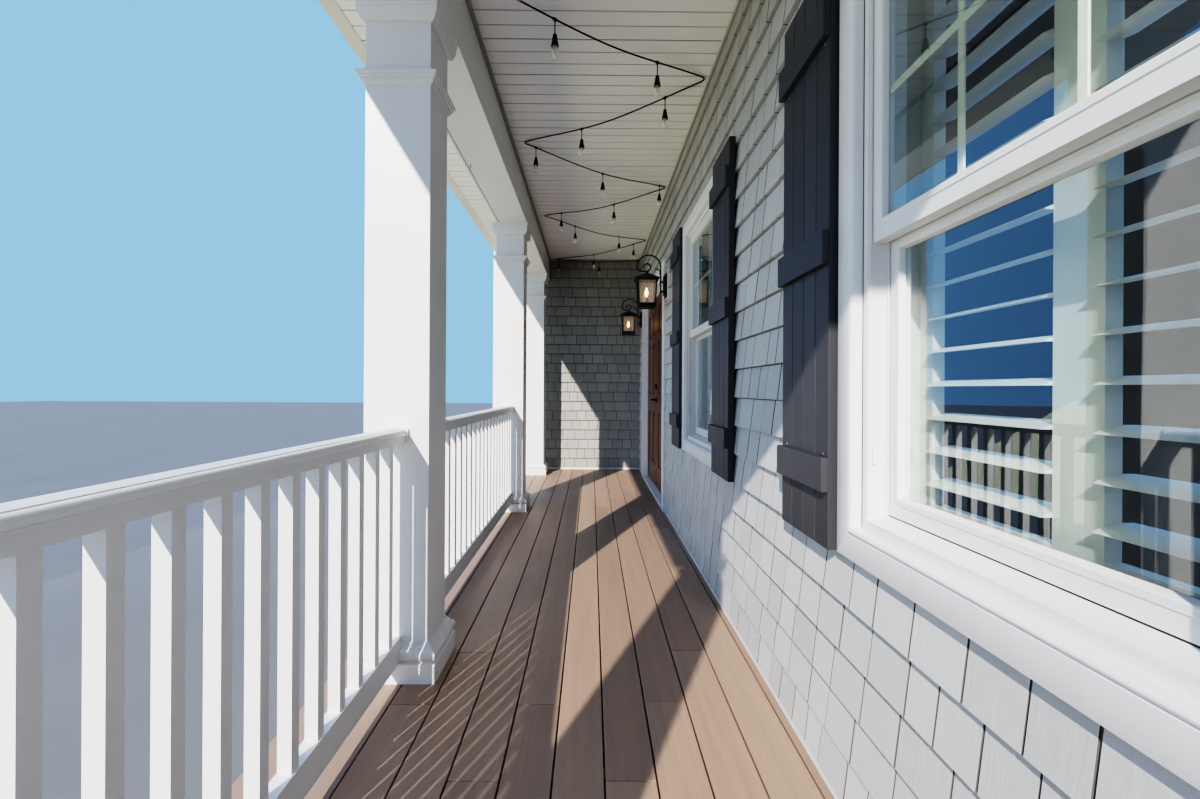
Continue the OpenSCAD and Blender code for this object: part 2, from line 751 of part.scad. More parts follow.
module door_handle() color("black") in_frame() {
  x = door_x0 + door_w - 65;
  z = deck_z + handle_z;
  for (face = [-1, 1]) {
    y = face < 0 ? door_y : door_y + door_t;
    translate([x, y, z]) rotate([face < 0 ? 90 : -90, 0, 0]) {
      cylinder(h = 8, r = 28);
      cylinder(h = 50, r = 9);
    }
    translate([x, y + face * 48, z]) rotate([0, -90, 0]) cylinder(h = 105, r = 8);
    translate([x, y, z + 140]) rotate([face < 0 ? 90 : -90, 0, 0]) cylinder(h = 14, r = 27);
  }
}

lantern_x = (entry_x1 - entry_x0) / 2 - jamb_t + casing_reveal + door_casing_w + lantern_gap;
lantern_z = deck_z + threshold_h + door_gap + door_h - lantern_drop;

module at_lanterns() {
  for (side = [-1, 1]) translate([entry_x + side * lantern_x, 0, lantern_z]) children();
}

cage_bar = 12;
cage_floor = 30;
roof_h = 44;
roof_plate = 8;
finial_z = cage_h + roof_plate + roof_h + 16;

function cage_w(z) = cage_low_w + (cage_high_w - cage_low_w) * z / cage_h;

// Square tapered block centred on the lantern's axis.
module taper(low_w, high_w, z0, z1) translate([0, -lantern_out, z0])
  linear_extrude(z1 - z0, scale = high_w / low_w) square(low_w, center = true);

module lantern_block(w, z0, z1) translate([-w / 2, -lantern_out - w / 2, z0]) cube([w, w, z1 - z0]);

// Cage: base tray, four corner bars between rails, roof with an eave plate and a finial.
module lantern_cages() color("black") in_frame() at_lanterns() {
  inner = cage_low_w - 2 * cage_bar;
  lantern_block(cage_low_w + 6, 0, 10);
  difference() {
    taper(cage_w(10), cage_w(cage_h), 10, cage_h);
    taper(cage_w(cage_floor) - 2 * cage_bar, cage_w(cage_h + 1) - 2 * cage_bar, cage_floor, cage_h + 1);
    translate([0, -lantern_out, (cage_floor + cage_h) / 2 + 4])
      cube([inner, 300, cage_h - cage_floor - 22], center = true);
    translate([0, -lantern_out, (cage_floor + cage_h) / 2 + 4])
      cube([300, inner, cage_h - cage_floor - 22], center = true);
  }
  lantern_block(lantern_w, cage_h, cage_h + roof_plate);
  taper(lantern_w - 16, 46, cage_h + roof_plate, cage_h + roof_plate + roof_h);
  translate([0, -lantern_out, cage_h + roof_h]) cylinder(h = finial_z - cage_h - roof_h, r = 12);
}

function glass_w(z) = cage_w(z) - 2 * cage_bar - 0.6;

module lantern_glass() color("wheat", 0.5) in_frame() at_lanterns() {
  z0 = cage_floor + 0.3;
  z1 = cage_h - 0.3;
  difference() {
    taper(glass_w(z0), glass_w(z1), z0, z1);
    taper(glass_w(z0 - 1) - 6, glass_w(z1 + 1) - 6, z0 - 1, z1 + 1);
  }
}

module lantern_blocks() color("white") in_frame() at_lanterns() {
  translate([-75, -block_t, 70]) cube([150, block_t, 250]);
}

// Outline of a flat bar bent along a path of [out, up] points, w wide in the plane of the bend.
function bar_side(path, i) = let (a = path[max(i - 1, 0)], b = path[min(i + 1, len(path) - 1)])
  [a[1] - b[1], b[0] - a[0]] / norm(b - a);
function bent_bar(path, w) = let (n = len(path)) concat(
  [for (i = [0 : n - 1]) path[i] + bar_side(path, i) * w / 2],
  [for (i = [n - 1 : -1 : 0]) path[i] - bar_side(path, i) * w / 2]);
function spiral(c, r0, r1, a0, a1, n) = [for (i = [0 : n]) let (t = i / n, a = a0 + (a1 - a0) * t,
  r = r0 + (r1 - r0) * t) c + r * [cos(a), sin(a)]];

// Wrought arm: wall plate, the bar that rises, bends over and winds into the scroll that holds
// the lantern by its finial, and a short curl by the wall.
module lantern_brackets() color("black") in_frame() at_lanterns() {
  bar_w = 10;
  rise = 74;
  plate_t = 26;
  ring_r = 104;
  curl_r = 34;
  ring_z = finial_z + curl_r + bar_w / 2 + 2;
  arm = concat([[rise, 120]], spiral([rise + ring_r, ring_z], ring_r, ring_r - 6, 180, 0, 20),
    spiral([rise + 2 * ring_r - 66, ring_z], 60, curl_r + 2, -8, -82, 7),
    spiral([lantern_out - 2, ring_z - 2], curl_r, curl_r - 6, -92, -380, 22));
  hook = concat([[rise + 4, ring_z - 70]], spiral([rise + 32, ring_z - 34], 25, 12, 200, 20, 10));
  translate([-48, -block_t - 12, 90]) cube([96, 12, 200]);
  translate([-36, -block_t - plate_t, 110]) cube([72, plate_t, 160]);
  for (z = [140, 220]) translate([0, -block_t - 1, z]) rotate([90, 0, 0]) cylinder(h = rise - block_t, r = 8);
  translate([-6, 0, 0]) mirror([0, 1, 0]) rotate([90, 0, 90]) linear_extrude(12) polygon(bent_bar(arm, bar_w));
  translate([-4, 0, 0]) mirror([0, 1, 0]) rotate([90, 0, 90]) linear_extrude(8) polygon(bent_bar(hook, bar_w - 3));
}

// Route of the light string from the outlet to its last hook: [x, y, z] from the end wall,
// the house wall and the ceiling.
cord_route = [[7240, -1096, -22], [7190, -1104, -26], [7092, -1128, -16], [7050, -1140, -14],
  [7008, -1118, -16], [6620, -580, -60], [6235, -72, -16], [6195, -42, -14], [6152, -74, -16],
  [5700, -590, -64], [5274, -1098, -16], [5235, -1136, -14], [5194, -1098, -16], [4850, -580, -58],
  [4510, -72, -16], [4470, -40, -14], [4430, -72, -16], [4050, -588, -62], [3672, -1100, -16],
  [3630, -1138, -14], [3588, -1100, -16], [3195, -588, -60], [2802, -72, -16], [2760, -39, -14],
  [2718, -72, -16], [2350, -584, -60], [1982, -1098, -16], [1940, -1136, -14], [1898, -1098, -16],
  [1480, -580, -62], [1062, -68, -16], [1020, -38, -14], [978, -72, -16], [540, -590, -60],
  [96, -1094, -18], [56, -1128, -20], [32, -1086, -22], [30, -580, -44], [30, -70, -22]];

function unit(v) = v / norm(v);

module string_cord() color("black") in_frame() {
  sides = 8;
  n = len(cord_route);
  points = [for (p = cord_route) [p[0], p[1], ceiling_z + p[2]]];
  vertices = [for (i = [0 : n - 1], k = [0 : sides - 1])
    let (t = unit(points[min(i + 1, n - 1)] - points[max(i - 1, 0)]),
    side = unit(cross(t, [0, 0, 1])), up = cross(side, t), a = 360 * k / sides)
    points[i] + cord_d / 2 * (cos(a) * side + sin(a) * up)];
  faces = concat([[for (k = [0 : sides - 1]) k]],
    [for (i = [0 : n - 2], k = [0 : sides - 1])
    [i * sides + k, (i + 1) * sides + k, (i + 1) * sides + (k + 1) % sides, i * sides + (k + 1) % sides]],
    [[for (k = [sides - 1 : -1 : 0]) (n - 1) * sides + k]]);
  polyhedron(vertices, faces, convexity = 10);
}

function route_len(i) = i <= 0 ? 0 : route_len(i - 1) + norm(cord_route[i] - cord_route[i - 1]);
function route_at(s, i = 0) = i >= len(cord_route) - 2 || route_len(i + 1) >= s ?
  let (a = cord_route[i], b = cord_route[i + 1], t = (s - route_len(i)) / norm(b - a))
  a + (b - a) * min(max(t, 0), 1) : route_at(s, i + 1);
first_lamp = 353;
route_total = route_len(len(cord_route) - 1);
lamp_count = floor((route_total - first_lamp - 20) / lamp_pitch);

pigtail_l = 70;
socket_l = 56;
bulb_r = 21;

// Lamps: a short lead, a socket and a clear round-ended bulb.
module string_lamps() color("black") in_frame() {
  for (i = [0 : lamp_count]) {
    p = route_at(first_lamp + i * lamp_pitch);
    translate([p[0], p[1], ceiling_z + p[2] - cord_d / 2]) {
      translate([0, 0, -pigtail_l]) cylinder(h = pigtail_l + 0.3, r = 2.5);
      translate([0, 0, -pigtail_l - socket_l]) cylinder(h = socket_l, r1 = 17.5, r2 = 12);
      translate([0, 0, -pigtail_l - socket_l - 31]) cylinder(h = 31, r1 = bulb_r, r2 = 15);
      translate([0, 0, -pigtail_l - socket_l - 31]) sphere(r = bulb_r);
    }
  }
}

// Route points where the string hangs on a hook.
hook_points = [3, 7, 11, 15, 19, 23, 27, 31, 35, 38];

// Hooks in the ceiling, and the outlet that the string's plug sits in.
module string_mounts() color("gray") in_frame() {
  start = cord_route[0];
  span([start[0], start[0] + 70], [start[1] - 28, start[1] + 28], [ceiling_z - 44, ceiling_z]);
  for (i = hook_points) {
    p = cord_route[i];
    translate([p[0], p[1], ceiling_z + p[2] + cord_d / 2]) cylinder(h = -p[2] - cord_d / 2, r = 2.5);
  }
}

house_foundation();
porch_piers();
floor_frame();
porch_skirt();
deck_boards();
step_frame();
step_treads();
column_shafts();
column_bases();
column_necks();
column_capitals();
front_beam();
side_beam();
porch_ceiling();
ceiling_trim();
eave_soffit();
fascia_boards();
roof_trusses();
roof_boards();
roof_shingles();
gable_panel();
near_railing();
far_railing();
side_railing();
handrails();
rail_brackets();
front_wall();
wall_over_entry();
wall_by_entry();
end_wall();
wall_edge_trim();
window_casings();
window_frames();
window_sashes();
window_glass();
inside_shutters();
near_shutters();
far_shutters();
entry_frame();
far_door();
near_door();
door_handle();
lantern_blocks();
lantern_brackets();
lantern_cages();
lantern_glass();
string_cord();
string_lamps();
string_mounts();
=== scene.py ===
import math
import random

import bmesh
import bpy
from mathutils import Matrix, Vector, geometry


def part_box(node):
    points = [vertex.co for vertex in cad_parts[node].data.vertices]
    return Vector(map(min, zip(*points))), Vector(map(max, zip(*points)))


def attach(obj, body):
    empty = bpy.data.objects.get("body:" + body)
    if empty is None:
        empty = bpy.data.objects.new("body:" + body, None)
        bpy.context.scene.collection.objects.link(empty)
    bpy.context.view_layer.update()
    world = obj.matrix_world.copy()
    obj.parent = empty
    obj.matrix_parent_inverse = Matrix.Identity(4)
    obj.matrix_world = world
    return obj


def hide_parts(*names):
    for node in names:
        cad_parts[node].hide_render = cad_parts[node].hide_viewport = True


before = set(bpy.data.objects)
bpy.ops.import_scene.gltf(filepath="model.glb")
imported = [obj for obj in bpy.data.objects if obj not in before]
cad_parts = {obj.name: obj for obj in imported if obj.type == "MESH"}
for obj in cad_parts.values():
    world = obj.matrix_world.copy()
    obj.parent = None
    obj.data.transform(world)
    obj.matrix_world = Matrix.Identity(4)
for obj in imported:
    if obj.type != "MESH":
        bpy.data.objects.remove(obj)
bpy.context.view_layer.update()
scene = bpy.context.scene

# Camera: it stands on the deck near the open end, at sitting height, and looks along the porch to
# the end wall. The lens is wide, and the camera is turned and tipped a touch.
END_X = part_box("end_wall")[1].x
WALL_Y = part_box("front_wall")[0].y
DECK_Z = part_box("deck_boards")[1].z
EYE = (7.650, 0.660, 1.074)
TURN = 0.0083
TIP = math.radians(0.30)
SENSOR_W = 36
PHOTO_PIXELS = 1200
FOCAL_PIXELS = 569
SHIFT_PIXELS = (3.8, -10.2)


def spot(along, out, up):
    """A point: along from the end wall, out from the house wall, up from the deck, in metres."""
    return Vector((END_X + along, WALL_Y - out, DECK_Z + up))


eye = spot(*EYE)
ahead = Vector((-math.cos(TURN), math.sin(TURN), 0))
level = Vector((math.sin(TURN), math.cos(TURN), 0))
plumb = Vector((0, 0, 1))
side = level * math.cos(TIP) + plumb * math.sin(TIP)
above = plumb * math.cos(TIP) - level * math.sin(TIP)
camera = bpy.data.objects.new("porch_camera", bpy.data.cameras.new("porch_camera"))
scene.collection.objects.link(camera)
camera.matrix_world = Matrix((
    (side.x, above.x, -ahead.x, eye.x),
    (side.y, above.y, -ahead.y, eye.y),
    (side.z, above.z, -ahead.z, eye.z),
    (0, 0, 0, 1)))
camera.data.sensor_width = SENSOR_W
camera.data.lens = FOCAL_PIXELS / PHOTO_PIXELS * SENSOR_W
camera.data.shift_x, camera.data.shift_y = (shift / PHOTO_PIXELS for shift in SHIFT_PIXELS)
camera.data.clip_start = 0.02
scene.camera = camera

# Light string: a black rubber cord that zigzags over hooks in the ceiling, from an outlet near the
# open end to the far corner. It hangs slack between the hooks.
CEILING_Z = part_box("porch_ceiling")[0].z
CORD_D = 0.008
CORD_STEPS = 10
# Along from the end wall, out from the house wall and down from the ceiling, in metres, as in the
# part's source.
STRING_ROUTE = [
    (7.240, 1.096, 0.022), (7.190, 1.104, 0.026), (7.092, 1.128, 0.016), (7.050, 1.140, 0.014),
    (7.008, 1.118, 0.016), (6.620, 0.580, 0.060), (6.235, 0.072, 0.016), (6.195, 0.042, 0.014),
    (6.152, 0.074, 0.016), (5.700, 0.590, 0.064), (5.274, 1.098, 0.016), (5.235, 1.136, 0.014),
    (5.194, 1.098, 0.016), (4.850, 0.580, 0.058), (4.510, 0.072, 0.016), (4.470, 0.040, 0.014),
    (4.430, 0.072, 0.016), (4.050, 0.588, 0.062), (3.672, 1.100, 0.016), (3.630, 1.138, 0.014),
    (3.588, 1.100, 0.016), (3.195, 0.588, 0.060), (2.802, 0.072, 0.016), (2.760, 0.039, 0.014),
    (2.718, 0.072, 0.016), (2.350, 0.584, 0.060), (1.982, 1.098, 0.016), (1.940, 1.136, 0.014),
    (1.898, 1.098, 0.016), (1.480, 0.580, 0.062), (1.062, 0.068, 0.016), (1.020, 0.038, 0.014),
    (0.978, 0.072, 0.016), (0.540, 0.590, 0.060), (0.096, 1.094, 0.018), (0.056, 1.128, 0.020),
    (0.032, 1.086, 0.022), (0.030, 0.580, 0.044), (0.030, 0.070, 0.022)]
string_points = [Vector((END_X + along, WALL_Y - out, CEILING_Z - down))
                 for along, out, down in STRING_ROUTE]


class Finish:
    """A material with one shader, and nodes that are added to it one at a time."""

    def __init__(self, name, values=()):
        self.material = bpy.data.materials.new(name)
        self.material.use_nodes = True
        self.tree = self.material.node_tree
        self.shader = self.tree.nodes["Principled BSDF"]
        self.place = self.add("TexCoord").outputs["Object"]
        self.look(dict(values))

    def feed(self, node, values):
        for key, value in values.items():
            if isinstance(value, bpy.types.Node):
                value = value.outputs[0]
            if isinstance(value, bpy.types.NodeSocket):
                self.tree.links.new(value, node.inputs[key])
            else:
                node.inputs[key].default_value = value

    def look(self, values):
        """Feeds the shader itself."""
        self.feed(self.shader, values)

    def add(self, kind, values=(), **settings):
        node = self.tree.nodes.new("ShaderNode" + kind)
        for key, value in settings.items():
            setattr(node, key, value)
        self.feed(node, dict(values))
        return node

    def tone(self):
        """The tone from 0 to 1 that the mesh keeps on its faces."""
        return self.add("Attribute", attribute_name="tone").outputs["Fac"]

    def grain(self, scale, stretch=(1, 1, 1), detail=4, distortion=0.0):
        """Noise in the object's own place, drawn out along the axes with a small stretch."""
        spread = self.add("Mapping", {"Vector": self.place, "Scale": stretch})
        return self.add("TexNoise", {"Vector": spread, "Scale": scale, "Detail": detail,
                                     "Distortion": distortion})

    def ramp(self, amount, *stops):
        """Colours for an amount from 0 to 1, as pairs of position and colour."""
        node = self.add("ValToRGB", {"Fac": amount})
        points = node.color_ramp.elements
        while len(points) < len(stops):
            points.new(0.5)
        for point, (position, colour) in zip(points, stops):
            point.position = position
            point.color = (*colour, 1)
        return node

    def shades(self, amount, dark, light, low=0.3, high=0.7):
        """Colours from dark to light while the amount goes from low to high."""
        return self.ramp(amount, (low, dark), (high, light))

    def mixed(self, share, first, second, mode="MIX"):
        return self.add("MixRGB", {"Fac": share, "Color1": first, "Color2": second}, blend_type=mode)

    def amount(self, value, low, high):
        """A value from 0 to 1 turned into one from low to high."""
        return self.add("MapRange", {"Value": value, "To Min": low, "To Max": high})

    def relief(self, height, depth, under=None):
        values = {"Height": height, "Distance": depth, "Strength": 1.0}
        if under is not None:
            values["Normal"] = under
        return self.add("Bump", values)


def eased(points, steps):
    """A smooth line through the points, with handles a third of the way to the next point."""
    line = [points[0]]
    last = len(points) - 1
    for i in range(last):
        start, end = points[i], points[i + 1]
        reach = (end - start).length / 3
        leave = start + (end - points[max(i - 1, 0)]).normalized() * reach
        reach_in = end - (points[min(i + 2, last)] - start).normalized() * reach
        line += geometry.interpolate_bezier(start, leave, reach_in, end, steps + 1)[1:]
    return line


cord_finish = Finish("black_cord", {"Specular IOR Level": 0.25})
scuff = cord_finish.grain(60, detail=3)
cord_finish.look({
    "Base Color": cord_finish.shades(scuff, (0.005, 0.005, 0.006), (0.014, 0.014, 0.015), high=0.8),
    "Roughness": cord_finish.amount(scuff, 0.42, 0.68),
    "Normal": cord_finish.relief(cord_finish.grain(900, detail=2), 0.0002)})
cord_line = eased(string_points, CORD_STEPS)
cord_curve = bpy.data.curves.new("light_string_cord", "CURVE")
cord_curve.dimensions = "3D"
spline = cord_curve.splines.new("POLY")
spline.points.add(len(cord_line) - 1)
for knot, place in zip(spline.points, cord_line):
    knot.co = (*place, 1)
cord_curve.bevel_depth = CORD_D / 2
cord_curve.bevel_resolution = 4
cord_curve.use_fill_caps = True
cord_curve.materials.append(cord_finish.material)
cord = bpy.data.objects.new("light_string_cord", cord_curve)
scene.collection.objects.link(cord)
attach(cord, "porch")
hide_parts("string_cord")

# Lamps of the light string: a moulded tee on the cord, a short lead, a ribbed rubber socket and a
# clear bulb with a wound filament on a glass stem.
LAMP_PITCH = 0.615
FIRST_LAMP = 0.353
LEAD_L = 0.070
SOCKET_L = 0.056
TEE_SIZE = (0.0075, 0.0075, 0.017)
FILAMENT_OUT = 0.006


def plain_coat(name, values, scale, dark, light):
    """A finish with one noise that runs from a dark to a light shade."""
    made = Finish(name, values)
    made.look({"Base Color": made.shades(made.grain(scale), dark, light)})
    return made


def formed(name, bm, finish, smooth=None):
    """Makes an object of a finished mesh. A round one gives the angle up to which it looks smooth."""
    mesh = bpy.data.meshes.new(name)
    if smooth:
        bmesh.ops.recalc_face_normals(bm, faces=bm.faces)
    bm.to_mesh(mesh)
    bm.free()
    mesh.materials.append(finish.material)
    if smooth:
        mesh.shade_smooth()
        mesh.set_sharp_from_angle(angle=math.radians(smooth))
    made = bpy.data.objects.new(name, mesh)
    scene.collection.objects.link(made)
    return made


def piece(name, bm, finish, smooth=None):
    """Makes a piece of the porch of a finished mesh, with its material slot."""
    made = formed(name, bm, finish, smooth)
    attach(made, "porch")
    return made


def turned(bm, outline, foot, steps=16):
    """Turns an outline of (radius, height) round the upright line through foot."""
    chain = [bm.verts.new(foot + Vector((radius, 0, up))) for radius, up in outline]
    lines = [bm.edges.new(pair) for pair in zip(chain, chain[1:])]
    made = bmesh.ops.spin(bm, geom=chain + lines, cent=foot, axis=(0, 0, 1), angle=math.tau,
                          steps=steps, use_merge=True)
    shell = set(chain) | {part for part in made["geom_last"] if isinstance(part, bmesh.types.BMVert)}
    todo = list(shell)
    while todo:
        for line in todo.pop().link_edges:
            for vert in line.verts:
                if vert not in shell:
                    shell.add(vert)
                    todo.append(vert)
    bmesh.ops.remove_doubles(bm, verts=list(shell), dist=1e-5)


def laid(place, way):
    """A matrix that takes an upright shape to a place and lays it along a way."""
    tilt = Vector((0, 0, 1)).rotation_difference(way)
    return Matrix.Translation(place) @ tilt.to_matrix().to_4x4()


lamp_spots = []
gone = 0.0
for i, (start, end) in enumerate(zip(string_points, string_points[1:])):
    span_l = (end - start).length
    while (lamp_at := FIRST_LAMP + len(lamp_spots) * LAMP_PITCH) < gone + span_l:
        steps_in = (lamp_at - gone) / span_l * CORD_STEPS
        step = min(int(steps_in), CORD_STEPS - 1)
        before, after = cord_line[i * CORD_STEPS + step], cord_line[i * CORD_STEPS + step + 1]
        lamp_spots.append((before.lerp(after, steps_in - step), (after - before).normalized()))
    gone += span_l
lamp_feet = [place - Vector((0, 0, LEAD_L + SOCKET_L)) for place, way in lamp_spots]

sockets = bmesh.new()
for (place, way), foot in zip(lamp_spots, lamp_feet):
    bmesh.ops.create_uvsphere(sockets, u_segments=12, v_segments=8, radius=1,
                              matrix=laid(place, way) @ Matrix.Diagonal((*TEE_SIZE, 1)))
    turned(sockets, [(0.0055, 0.0), (0.0050, -0.010), (0.0027, -0.014), (0.0025, -LEAD_L - 0.002)],
           place, 10)
    turned(sockets, [
        (0.0, SOCKET_L), (0.0075, SOCKET_L), (0.0095, 0.053), (0.0100, 0.041), (0.0125, 0.038),
        (0.0128, 0.034), (0.0118, 0.032), (0.0122, 0.028), (0.0145, 0.022), (0.0165, 0.012),
        (0.0178, 0.003), (0.0178, 0.0), (0.0150, 0.0), (0.0140, 0.012), (0.0, 0.012)], foot)
sockets = piece("lamp_sockets", sockets, cord_finish, smooth=35)
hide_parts("string_lamps")

bulb_glass = Finish("clear_bulb_glass", {"Base Color": (0.93, 0.92, 0.88, 1), "Roughness": 0.04,
                                         "Alpha": 0.34, "Specular IOR Level": 0.9})
bulb_glass.look({"Normal": bulb_glass.relief(bulb_glass.grain(90, detail=1), 0.0004)})
filament_metal = plain_coat("lamp_filament", {"Metallic": 1.0, "Roughness": 0.35}, 300,
                            (0.55, 0.36, 0.14), (0.75, 0.55, 0.28))
bulbs, filaments = bmesh.new(), bmesh.new()
for foot in lamp_feet:
    turned(bulbs, [
        (0.0120, 0.010), (0.0125, 0.0), (0.0150, -0.010), (0.0190, -0.020), (0.0208, -0.029),
        (0.0203, -0.037), (0.0170, -0.045), (0.0110, -0.050), (0.0050, -0.0517), (0.0, -0.052)], foot)
    turned(filaments, [(0.0, 0.008), (0.0060, 0.008), (0.0050, -0.006), (0.0020, -0.018), (0.0, -0.019)],
           foot, 8)
    for aside in (-FILAMENT_OUT, FILAMENT_OUT):
        turned(filaments, [(0.0, -0.012), (0.0009, -0.013), (0.0009, -0.033), (0.0, -0.034)],
               foot + Vector((aside, 0, 0)), 6)
piece("lamp_bulbs", bulbs, bulb_glass, smooth=60)
piece("lamp_filaments", filaments, filament_metal, smooth=40)

# Ends of the light string: a moulded plug in the outlet box at the near end, and a capped socket
# that hangs in the last hook.
plug, cap = bmesh.new(), bmesh.new()
turned(plug, [(0.0, 0.0), (0.0150, 0.0), (0.0155, 0.006), (0.0140, 0.020), (0.0090, 0.026),
              (0.0075, 0.036), (0.0070, 0.048), (0.0043, 0.050), (0.0043, 0.052)], Vector())
turned(cap, [(0.0043, -0.006), (0.0075, -0.004), (0.0080, 0.012), (0.0105, 0.014), (0.0105, 0.030),
             (0.0090, 0.034), (0.0, 0.035)], Vector())
for end_piece, place, way in ((plug, string_points[0], string_points[1] - string_points[0]),
                              (cap, string_points[-1], string_points[-1] - string_points[-2])):
    bmesh.ops.transform(end_piece, matrix=laid(place, way), verts=end_piece.verts)
    bmesh.ops.holes_fill(end_piece, edges=[line for line in end_piece.edges if line.is_boundary])
plug = piece("string_plug", plug, cord_finish, smooth=35)
cap = piece("string_end_cap", cap, cord_finish, smooth=35)


# Foundation and piers: cast concrete with a rough, blotchy face and small pits. It stands on the
# ground and carries the house wall and the deck.
def dress(finish, *nodes):
    """Gives CAD nodes a finish in place of their plain one."""
    for node in nodes:
        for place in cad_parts[node].material_slots:
            place.material = finish.material


concrete = Finish("cast_concrete")
blotch = concrete.grain(2.2, detail=6)
pits = concrete.grain(70, detail=5)
cast_face = concrete.shades(blotch, (0.36, 0.35, 0.33), (0.50, 0.49, 0.46))
pitted = concrete.shades(pits, (0.26, 0.25, 0.24), (0.52, 0.51, 0.48), 0.35, 0.6)
concrete.look({
    "Base Color": concrete.mixed(0.35, cast_face, pitted),
    "Roughness": concrete.amount(pits, 0.75, 0.95),
    "Normal": concrete.relief(pits, 0.004)})
dress(concrete, "house_foundation", "porch_piers")

# Floor frame: sawn softwood joists, rims and a girder, and the same wood in the trusses and roof
# boards above. The grain runs along each stick.
sawn = Finish("sawn_softwood")
rings = sawn.grain(9, (0.35, 1.0, 1.0), 6, 0.6)
fibre = sawn.grain(45, (0.08, 1, 1), 5)
ringed = sawn.shades(rings, (0.50, 0.34, 0.19), (0.66, 0.50, 0.31), 0.35, 0.62)
fibrous = sawn.shades(fibre, (0.42, 0.28, 0.15), (0.68, 0.52, 0.33))
sawn.look({
    "Base Color": sawn.mixed(0.4, ringed, fibrous),
    "Roughness": sawn.amount(fibre, 0.6, 0.8),
    "Normal": sawn.relief(fibre, 0.001)})
dress(sawn, "floor_frame", "roof_trusses", "roof_boards")

# White trim: satin painted boards and mouldings on the skirt, steps, columns, beams and railings.
# The paint has a fine orange peel, faint brush streaks and a little dust.
trim_paint = Finish("white_trim_paint", {"Specular IOR Level": 0.45})
dust = trim_paint.grain(1.3, detail=5)
brush = trim_paint.grain(40, (1, 1, 0.06), 3)
peel = trim_paint.grain(420, detail=2)
dusty = trim_paint.shades(dust, (0.73, 0.735, 0.74), (0.79, 0.79, 0.785), high=0.65)
brushed = trim_paint.shades(brush, (0.74, 0.74, 0.74), (0.80, 0.80, 0.795))
trim_paint.look({
    "Base Color": trim_paint.mixed(0.25, dusty, brushed),
    "Roughness": trim_paint.amount(dust, 0.30, 0.46),
    "Normal": trim_paint.relief(peel, 0.00018, trim_paint.relief(brush, 0.00025))})
dress(trim_paint, "porch_skirt", "step_frame", "column_bases", "column_necks", "column_capitals",
      "near_railing", "far_railing", "side_railing", "handrails", "rail_brackets", "wall_edge_trim",
      "window_casings", "entry_frame", "lantern_blocks", "side_beam")

# Deck: grooved composite boards on hidden clips, with an embossed grain, eased edges and square
# butt joints on the joists, and a ripped strip at the wall.
DECK_LOW, DECK_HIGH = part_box("deck_boards")
BOARD_W = 0.1395
BOARD_GAP = 0.005
BOARD_T = 0.025
BUTT_GAP = 0.0024
# Butt joints of each row from the outer edge inwards, along from the end wall.
ROW_JOINTS = [(3.35, 7.0), (1.95, 6.85), (2.05, 5.71), (1.65, 5.33), (2.43, 6.09), (2.05, 5.71),
              (3.20, 6.86), (2.43, 6.09), (2.05, 5.69), (1.65, 5.31), (3.23, 6.90), (4.10,)]


def faces_of(verts):
    """The faces that meet at the points of a block."""
    return {face for vert in verts for face in vert.link_faces}


def block(bm, low, high, tone=None, layer=None):
    """A box from one corner to the other. Its tone is kept on its faces."""
    low, high = Vector(low), Vector(high)
    lie = Matrix.Translation((low + high) / 2) @ Matrix.Diagonal((*(high - low), 1))
    made = bmesh.ops.create_cube(bm, size=1, matrix=lie)
    if layer:
        for face in faces_of(made["verts"]):
            face[layer] = tone
    return made["verts"]


def eased_edges(bm, width, segments=1):
    """Bevels every sharp edge of the mesh."""
    sharp = [line for line in bm.edges if len(line.link_faces) == 2 and line.calc_face_angle() > 0.6]
    bmesh.ops.bevel(bm, geom=sharp, offset=width, segments=segments, profile=0.5, affect="EDGES",
                    material=-1, clamp_overlap=True)


composite = Finish("composite_board", {"Specular IOR Level": 0.33})
long_grain = composite.grain(16, (0.06, 1.0, 1.0), 6, 0.8)
fine_grain = composite.grain(95, (0.035, 1.0, 1.0), 4, 0.4)
dusting = composite.grain(2.6, detail=6)
fine_streaks = composite.shades(fine_grain, (0.55, 0.55, 0.55), (1.0, 1.0, 1.0), 0.28, 0.70)
long_streaks = composite.shades(long_grain, (0.60, 0.59, 0.58), (1.0, 1.0, 1.0), 0.30, 0.66)
worn = composite.mixed(composite.tone(), (0.335, 0.238, 0.182, 1), (0.430, 0.308, 0.236, 1))
worn = composite.mixed(0.26, worn, fine_streaks, "MULTIPLY")
worn = composite.mixed(0.30, worn, long_streaks, "MULTIPLY")
composite.look({
    "Base Color": composite.mixed(composite.amount(dusting, 0.0, 0.35), worn, (0.350, 0.262, 0.210, 1)),
    "Roughness": composite.amount(dusting, 0.38, 0.62),
    "Normal": composite.relief(fine_grain, 0.0006)})

random.seed(41)
deck = bmesh.new()
deck_tone = deck.faces.layers.float.new("tone")
deck_len = DECK_HIGH.x - DECK_LOW.x
deck_out = DECK_HIGH.y - DECK_LOW.y + BOARD_GAP
for row, joints in enumerate(ROW_JOINTS):
    outer = deck_out - row * (BOARD_W + BOARD_GAP)
    inner = max(outer - BOARD_W, BOARD_GAP)
    ends = [0.0, *joints, deck_len]
    for start, end in zip(ends, ends[1:]):
        start += BUTT_GAP / 2 if start else 0.0
        end -= BUTT_GAP / 2 if end < deck_len else 0.0
        block(deck, spot(start, outer, -BOARD_T), spot(end, inner, 0), random.random(), deck_tone)
eased_edges(deck, 0.0022, 2)
deck = piece("deck_planks", deck, composite)
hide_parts("deck_boards")

